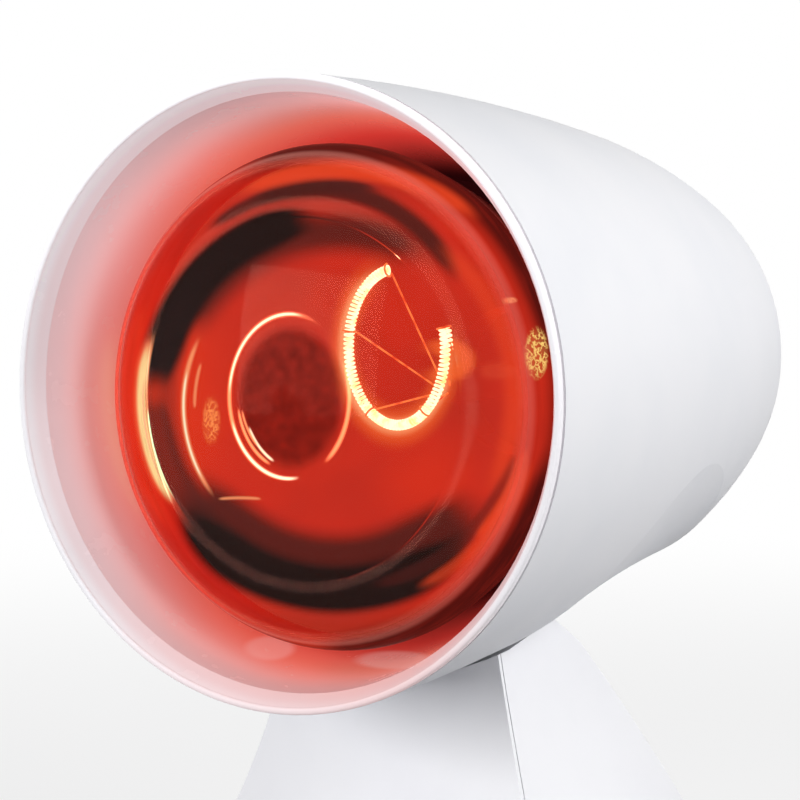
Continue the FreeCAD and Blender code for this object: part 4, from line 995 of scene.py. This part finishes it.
def tube(name: str, lines: list, radius: float, corners: int) -> bpy.types.Mesh:
    """Makes round wires along lines.

    Args:
        name: Name of the mesh.
        lines: For each wire the points of its middle line, in metres.
        radius: Radius of the wire in millimetres.
        corners: How finely its section is cut.

    Returns:
        The wires' mesh.
    """
    curve = bpy.data.curves.new(name, "CURVE")
    curve.dimensions = "3D"
    curve.bevel_depth = radius * MM
    curve.bevel_resolution = corners
    curve.use_fill_caps = True
    for points in lines:
        spline = curve.splines.new("POLY")
        spline.points.add(len(points) - 1)
        for target, point in zip(spline.points, points):
            target.co = (*point, 1.0)
    holder = bpy.data.objects.new(name, curve)
    mesh = bpy.data.meshes.new_from_object(holder)
    bpy.data.objects.remove(holder)
    mesh.shade_smooth()
    return mesh


@dataclass
class Filament:
    """The wound filament, bent to an open upright oval round the bulb's axis, and the wires that hold it.

    Winding is the radius of the wound turns, and opening the angle that the oval leaves open. Each support
    ends in a hook of hook_steps straight bits round the coil.
    """

    half_width: float = 10.9
    half_height: float = 15.2
    opening: float = 85.0
    opening_middle: float = 57.5
    back: float = 44.0
    rise: float = 8.6
    winding: float = 0.82
    wire: float = 0.28
    turns: int = 84
    steps: int = 10
    supports: int = 5
    support_wire: float = 0.2
    support_root: float = 1.8
    support_start: float = 62.0
    hook_steps: int = 6
    hook_begin: float = 60.0
    hook_turn: float = 240.0
    coil: Piece = Piece("filament_coil", Body.BULB, "glowing_wire", ("filament",))
    hooks: Piece = Piece("support_hooks", Body.BULB, "support_wire", ("filament_supports",))

    def bow(self, middle: Vector, share: float, winding: float = 0.0) -> tuple[Vector, Vector]:
        """A point of the oval.

        Args:
            middle: The oval's middle.
            share: Way along it, from 0 to 1.
            winding: How far outside the oval the point lies, in millimetres.

        Returns:
            The point and the direction outwards.
        """
        around = math.radians(self.opening_middle + self.opening / 2 + share * (360 - self.opening))
        across, up = math.cos(around), math.sin(around)
        out = Vector((across / self.half_width, 0.0, up / self.half_height)).normalized()
        line = Vector((across * self.half_width, 0.0, up * self.half_height))
        return middle + (line + out * winding) * MM, out

    def winding_line(self, middle: Vector) -> list[Vector]:
        """The wound wire's middle line.

        Args:
            middle: The oval's middle.

        Returns:
            Its points, in metres.
        """
        points = []
        count = self.turns * self.steps
        for number in range(count + 1):
            wound = FULL_TURN * number / self.steps
            point, _ = self.bow(middle, number / count, self.winding * math.cos(wound))
            points.append(point + Vector((0.0, self.winding * math.sin(wound) * MM, 0.0)))
        return points

    def hook_line(self, root: Vector, middle: Vector, share: float) -> list[Vector]:
        """A support wire's middle line: straight out from the stem, with a hook round the coil.

        Args:
            root: Middle of the stem's front.
            middle: The oval's middle.
            share: Where the wire meets the oval, from 0 to 1.

        Returns:
            Its points, in metres.
        """
        held, out = self.bow(middle, share)
        reach = self.winding + self.wire + self.support_wire
        start = root + Vector((out.x, 0.0, out.z)) * self.support_root * MM
        points = [start]
        for step in range(self.hook_steps + 1):
            turn = math.radians(self.hook_begin - self.hook_turn * step / self.hook_steps)
            points.append(held + (Vector((0.0, math.sin(turn), 0.0)) - out * math.cos(turn)) * reach * MM)
        return points

    def build(self, mouth: Vector, glow: bpy.types.Material, wire: bpy.types.Material) -> None:
        """Makes the coil and its supports.

        Args:
            mouth: Middle of the shade's mouth.
            glow: Finish of the coil.
            wire: Finish of the supports.
        """
        middle = mouth + Vector((0.0, self.back, self.rise - AXIS_DROP)) * MM
        root = mouth + Vector((0.0, self.support_start, -AXIS_DROP)) * MM
        shares = [number / (self.supports - 1) for number in range(self.supports)]
        hooks = [self.hook_line(root, middle, share) for share in shares]
        self.coil.add(tube(self.coil.name, [self.winding_line(middle)], self.wire, 1), glow)
        self.hooks.add(tube(self.hooks.name, hooks, self.support_wire, 2), wire)


@dataclass
class ThreadedCap:
    """The bulb's screw cap with its rolled round thread.

    Crest is the thread's outer radius, tip that of the closed end, and steps the number of cuts round it.
    """

    crest: float = 13.0
    depth: float = 0.85
    pitch: float = 3.62
    turns: float = 4.4
    front: float = 111.0
    length: float = 22.0
    collar: float = 1.2
    neck: float = 2.2
    bevel: float = 2.0
    tip: float = 11.0
    steps: int = 48
    waves: int = 10
    piece: Piece = Piece("screw_cap", Body.BULB, "cap_metal", ("bulb_cap",))

    def ring(self, mesh: bmesh.types.BMesh, radius: float, back: float) -> bmesh.types.BMVert:
        """Adds a vertex of a turned outline, by its distance from the axis and its place along it."""
        return mesh.verts.new((radius * MM, back * MM, 0.0))

    def spin(self, mesh: bmesh.types.BMesh, outline: list, turns: float, rise: float) -> None:
        """Turns a chain of vertices round the Y axis.

        Args:
            mesh: Mesh that it grows in.
            outline: The vertices, in order.
            turns: Number of turns.
            rise: Way along the axis for each turn, in millimetres.
        """
        edges = [mesh.edges.new(pair) for pair in zip(outline, outline[1:])]
        steps = max(1, round(self.steps * turns))
        bmesh.ops.spin(
            mesh,
            geom=outline + edges,
            cent=(0.0, 0.0, 0.0),
            axis=(0.0, 1.0, 0.0),
            dvec=(0.0, rise * MM * turns / steps, 0.0),
            angle=FULL_TURN * turns,
            steps=steps,
            use_merge=False,
        )

    def build(self, mouth: Vector, material: bpy.types.Material) -> None:
        """Makes the collar, the thread and the closed end.

        Args:
            mouth: Middle of the shade's mouth.
            material: The cap's finish.
        """
        mesh = bmesh.new()
        root = self.crest - self.depth
        thread_start = self.front + self.neck
        wave = []
        for number in range(self.waves + 1):
            share = number / self.waves
            radius = root + self.depth * (0.5 - 0.5 * math.cos(FULL_TURN * share))
            wave.append(self.ring(mesh, radius, thread_start + share * self.pitch))
        self.spin(mesh, wave, self.turns, self.pitch * 0.999)
        wide, under = self.crest - 0.1, root - 0.02
        end = self.front + self.length
        collar = [
            (root - 0.2, self.front),
            (wide, self.front),
            (wide, self.front + self.collar),
            (root, self.front + self.bevel),
            (under, thread_start + self.pitch),
        ]
        skirt = [
            (under, thread_start + self.turns * self.pitch),
            (root, end - self.bevel),
            (self.tip, end),
            (self.tip - 0.5, end),
        ]
        for outline in (collar, skirt):
            self.spin(mesh, [self.ring(mesh, *point) for point in outline], 1.0, 0.0)
        bmesh.ops.remove_doubles(mesh, verts=mesh.verts, dist=0.02 * MM)
        bmesh.ops.recalc_face_normals(mesh, faces=mesh.faces)
        bmesh.ops.translate(mesh, verts=mesh.verts, vec=mouth - Vector((0.0, 0.0, AXIS_DROP * MM)))
        made = bpy.data.meshes.new(self.piece.name)
        mesh.to_mesh(made)
        mesh.free()
        made.shade_smooth()
        self.piece.add(made, material)


# ---------------------------------------------------------------- sub-assemblies


def satin(name: str, colour: Colour, shade: Colour) -> Moulding:
    """Satin white plastic, with a skin too fine to break up the light on it."""
    return Moulding(name, colour, shade, 0.5, 0.04, 420.0, 0.003, relief=0.2, shine=0.06)


@dataclass
class Head:
    """The shade with its shell, and what carries the bulb in it."""

    viewpoint: Viewpoint
    paint: Moulding = satin("shell_white", Colour(236, 236, 239), Colour(231, 232, 236))
    porcelain: Moulding = Moulding(
        "glazed_porcelain", Colour(233, 229, 217), Colour(225, 219, 204), 0.18, 0.05, 500.0
    )
    sheet: Metal = Metal("carrier_steel", Colour(196, 197, 199), Colour(168, 168, 170), 0.34)
    brass: Metal = Metal("socket_brass", Colour(214, 176, 98), Colour(170, 128, 66), 0.3)
    zinc: Metal = Metal("zinc_plate", Colour(190, 192, 194), Colour(164, 160, 148), 0.3)

    def build(self) -> None:
        """Dresses the head's solids."""
        dress("head_shell", self.paint.material())
        dress("inner_shade", ShadeEnamelPaintedGlow("shade_enamel_painted_glow", BulbGlow(self.viewpoint)).material())
        dress("lampholder", self.porcelain.material())
        dress("lampholder_plate", self.sheet.material())
        brass, zinc = self.brass.material(), self.zinc.material()
        for node in ("socket_sleeve", "centre_contact"):
            dress(node, brass)
        for node in ("carrier_screws", "holder_screws"):
            dress(node, zinc)


@dataclass
class Bulb:
    """The red reflector bulb, lit."""

    mouth: Vector
    viewpoint: Viewpoint
    filament: Filament = field(default_factory=Filament)
    cap: ThreadedCap = field(default_factory=ThreadedCap)
    insulator: Moulding = Moulding("black_glass", Colour(18, 18, 22), Colour(28, 26, 30), 0.1, 0.03)
    solder: Metal = Metal("solder", Colour(176, 176, 178), Colour(140, 140, 140), 0.42)
    hot: HotWire = HotWire("filament_glow", Colour(255, 244, 214), Colour(255, 206, 130), 3.2)
    # The support wires' glow is painted light from the coil.
    painted_support_glow: HotWire = HotWire("support_wire", Colour(255, 170, 100), Colour(220, 70, 36), 1.2)
    shell: Metal = Metal("rolled_aluminium", Colour(206, 205, 200), Colour(180, 178, 170), 0.28)

    def build(self) -> None:
        """Dresses the bulb's solids and adds the wound filament and the threaded cap."""
        glow = BulbGlow(self.viewpoint)
        dress("bulb_glass", RubyGlass("ruby_glass", glow).material())
        coat = MirrorCoat("mirror_coat", glow).material()
        for node in ("bulb_mirror", "glass_stem"):
            dress(node, coat)
        dress("cap_insulator", self.insulator.material())
        dress("cap_contact", self.solder.material())
        self.filament.build(self.mouth, self.hot.material(), self.painted_support_glow.material())
        self.cap.build(self.mouth, self.shell.material())


@dataclass
class Hinge:
    """Pin, bushes and brake that hold the head at its tilt."""

    pin: Metal = Metal("turned_steel", Colour(200, 201, 203), Colour(172, 172, 174), 0.22, (14.0, 1.0, 1.0))
    nylon: Moulding = Moulding("nylon", Colour(228, 222, 206), Colour(220, 212, 194), 0.45, 0.08, 700.0)
    block: Moulding = Moulding("block_grey", Colour(206, 206, 208), Colour(198, 198, 200), 0.5, 0.08, 700.0)
    spring: Metal = Metal("spring_wire", Colour(150, 152, 156), Colour(118, 118, 122), 0.28)

    def build(self) -> None:
        """Dresses the hinge's solids."""
        pin, nylon = self.pin.material(), self.nylon.material()
        for node in ("hinge_pin", "hinge_washers", "hinge_nut"):
            dress(node, pin)
        for node in ("hinge_bushes", "brake_plunger"):
            dress(node, nylon)
        dress("brake_block", self.block.material())
        dress("brake_spring", self.spring.material())


@dataclass
class Foot:
    """The flared foot with its base, switch and cord inlet."""

    plastic: Moulding = satin("foot_white", Colour(239, 239, 242), Colour(235, 235, 239))
    plate: Moulding = Moulding(
        "base_grey", Colour(214, 214, 217), Colour(206, 206, 210), 0.55, 0.08, 900.0, 0.05
    )
    iron: Casting = Casting("ballast_iron", Colour(72, 72, 76), Colour(38, 37, 38))
    pads: Rubber = Rubber("pad_rubber", Colour(38, 38, 41), Colour(84, 82, 80))
    gland: Rubber = Rubber("gland_rubber", Colour(222, 222, 226), Colour(208, 206, 204))
    zinc: Metal = Metal("base_screw_zinc", Colour(190, 192, 194), Colour(164, 160, 148), 0.3)
    bezel: Moulding = Moulding(
        "switch_body", Colour(26, 26, 28), Colour(34, 34, 36), 0.42, 0.08, 1800.0, 0.05
    )
    rocker: Moulding = Moulding(
        "switch_rocker", Colour(20, 20, 22), Colour(28, 28, 30), 0.18, 0.05, 900.0, 0.01
    )
    tabs: Metal = Metal("tab_brass", Colour(214, 176, 98), Colour(170, 128, 66), 0.3)

    def build(self) -> None:
        """Dresses the foot's solids."""
        white = self.plastic.material()
        for node in ("foot_front", "foot_rear"):
            dress(node, white)
        dress("base_plate", self.plate.material())
        dress("ballast_plate", self.iron.material())
        dress("rubber_feet", self.pads.material())
        dress("cord_gland", self.gland.material())
        dress("base_screws", self.zinc.material())
        dress("switch_frame", self.bezel.material())
        dress("switch_rocker", self.rocker.material())
        dress("switch_tabs", self.tabs.material())


# ---------------------------------------------------------------- studio


@dataclass
class Lamp:
    """A soft lamp of the studio, a square sheet of light that faces a point."""

    name: str
    place: Vector
    towards: Vector
    width: float
    power: float

    def build(self) -> None:
        """Hangs the lamp."""
        data = bpy.data.lights.new(self.name, "AREA")
        data.size = self.width
        data.energy = self.power
        made = bpy.data.objects.new(self.name, data)
        made.visible_glossy = False
        made.location = self.place
        made.rotation_mode = "QUATERNION"
        made.rotation_quaternion = (self.towards - self.place).to_track_quat("-Z", "Y")
        bpy.context.scene.collection.objects.link(made)


@dataclass
class Studio:
    """Plain white floor and surroundings, soft lamps and the camera."""

    viewpoint: Viewpoint
    floor_size: float = 12.0
    shadow_reach: float = 250.0
    shadow_end: float = 900.0
    shadow_share: float = 0.3
    pale: Colour = Colour(229, 229, 230)
    paler: Colour = Colour(235, 235, 236)
    thrown_back: Colour = Colour(70, 70, 74)
    ambient: float = 0.2
    lens: float = 124.2
    sensor: float = 36.0
    aim: Vector = field(default_factory=lambda: Vector((0.0, 0.0, 0.11)))

    def seen(self, graph: Graph) -> Signal:
        """Tells what is seen from what only lights the lamp.

        Args:
            graph: The material's graph.

        Returns:
            1 where the surface is seen straight, in a reflection or through glass, and 0 elsewhere.
        """
        path = graph.node("LightPath")
        ways = ("Is Camera Ray", "Is Glossy Ray", "Is Transmission Ray")
        straight, mirrored, through = (Signal(graph, path.outputs[way]) for way in ways)
        return graph.math("MAXIMUM", graph.math("MAXIMUM", straight, mirrored), through)

    def floor(self) -> None:
        """Lays the floor: white far away, and near the lamp it keeps the lamp's soft shadow."""
        graph = Graph("studio_floor")
        across, away, _ = graph.axes()
        distance = graph.math("SQRT", across * across + away * away)
        far = graph.ramp(distance, self.shadow_reach, self.shadow_end)
        lit = graph.node("Emission")
        lit.inputs["Color"].default_value = WHITE
        matt = graph.node("BsdfDiffuse")
        seen = self.seen(graph)
        tone = graph.spread(graph.noise(3.0, 2.0), 0.0, 1.0)
        plain = graph.mix(tone, self.pale.linear(), self.paler.linear())
        graph.feed(matt.inputs["Color"], graph.mix(seen, self.thrown_back.linear(), plain))
        joined = graph.node("MixShader")
        share = seen * (far * self.shadow_share + (1 - self.shadow_share))
        graph.feed(joined.inputs[0], share)
        graph.tree.links.new(matt.outputs[0], joined.inputs[1])
        graph.tree.links.new(lit.outputs[0], joined.inputs[2])
        graph.tree.links.new(joined.outputs[0], graph.end.inputs["Surface"])
        mesh = bmesh.new()
        bmesh.ops.create_grid(mesh, x_segments=8, y_segments=8, size=self.floor_size / 2)
        made = bpy.data.meshes.new("floor")
        mesh.to_mesh(made)
        mesh.free()
        made.materials.append(graph.owner)
        plane = bpy.data.objects.new("floor", made)
        bpy.context.scene.collection.objects.link(plane)

    def surroundings(self) -> None:
        """Sets the world: white where it is seen, plain soft light elsewhere."""
        graph = Graph("studio", surroundings=True)
        shade = graph.node("Background")
        graph.feed(shade.inputs["Color"], WHITE)
        graph.feed(shade.inputs["Strength"], graph.spread(self.seen(graph), self.ambient, 1.0))
        graph.tree.links.new(shade.outputs[0], graph.end.inputs["Surface"])
        bpy.context.scene.world = graph.owner

    def lamps(self) -> None:
        """Hangs the lamps: a weak one above, and one each at the right side, in front and behind."""
        sheets = [
            Lamp("top_sheet", Vector((0.15, 0.0, 1.25)), self.aim, 1.1, 1.0),
            Lamp("side_sheet", Vector((1.1, -0.15, 0.5)), self.aim, 0.9, 13.8),
            Lamp("front_sheet", Vector((-0.6, -1.15, 0.2)), self.aim, 0.7, 15.6),
            Lamp("rear_sheet", Vector((-1.1, 0.8, 0.4)), self.aim, 0.8, 8.0),
        ]
        for sheet in sheets:
            sheet.build()

    def camera(self) -> None:
        """Puts the camera at the viewpoint."""
        data = bpy.data.cameras.new("camera")
        data.sensor_width = self.sensor
        data.lens = self.lens
        data.clip_start, data.clip_end = 0.01, 50.0
        made = bpy.data.objects.new("camera", data)
        made.matrix_world = Matrix.Translation(self.viewpoint.eye()) @ self.viewpoint.turn().to_4x4()
        bpy.context.scene.collection.objects.link(made)
        bpy.context.scene.camera = made

    def build(self) -> None:
        """Sets up the whole studio."""
        bpy.context.scene.view_settings.view_transform = "Standard"
        self.camera()
        self.floor()
        self.surroundings()
        self.lamps()


def main() -> None:
    """Builds the studio and the lamp's sub-assemblies in order."""
    logging.basicConfig(level=logging.INFO, format="%(name)s: %(message)s")
    mouth = Vector((0.0, RIM_PLANE, MOUTH_HEIGHT)) * MM
    viewpoint = Viewpoint(mouth)
    Studio(viewpoint).build()
    for part in (Foot(), Hinge(), Head(viewpoint), Bulb(mouth, viewpoint)):
        part.build()
        LOG.info("%s is built", type(part).__name__.lower())


if __name__ == "__main__":
    main()
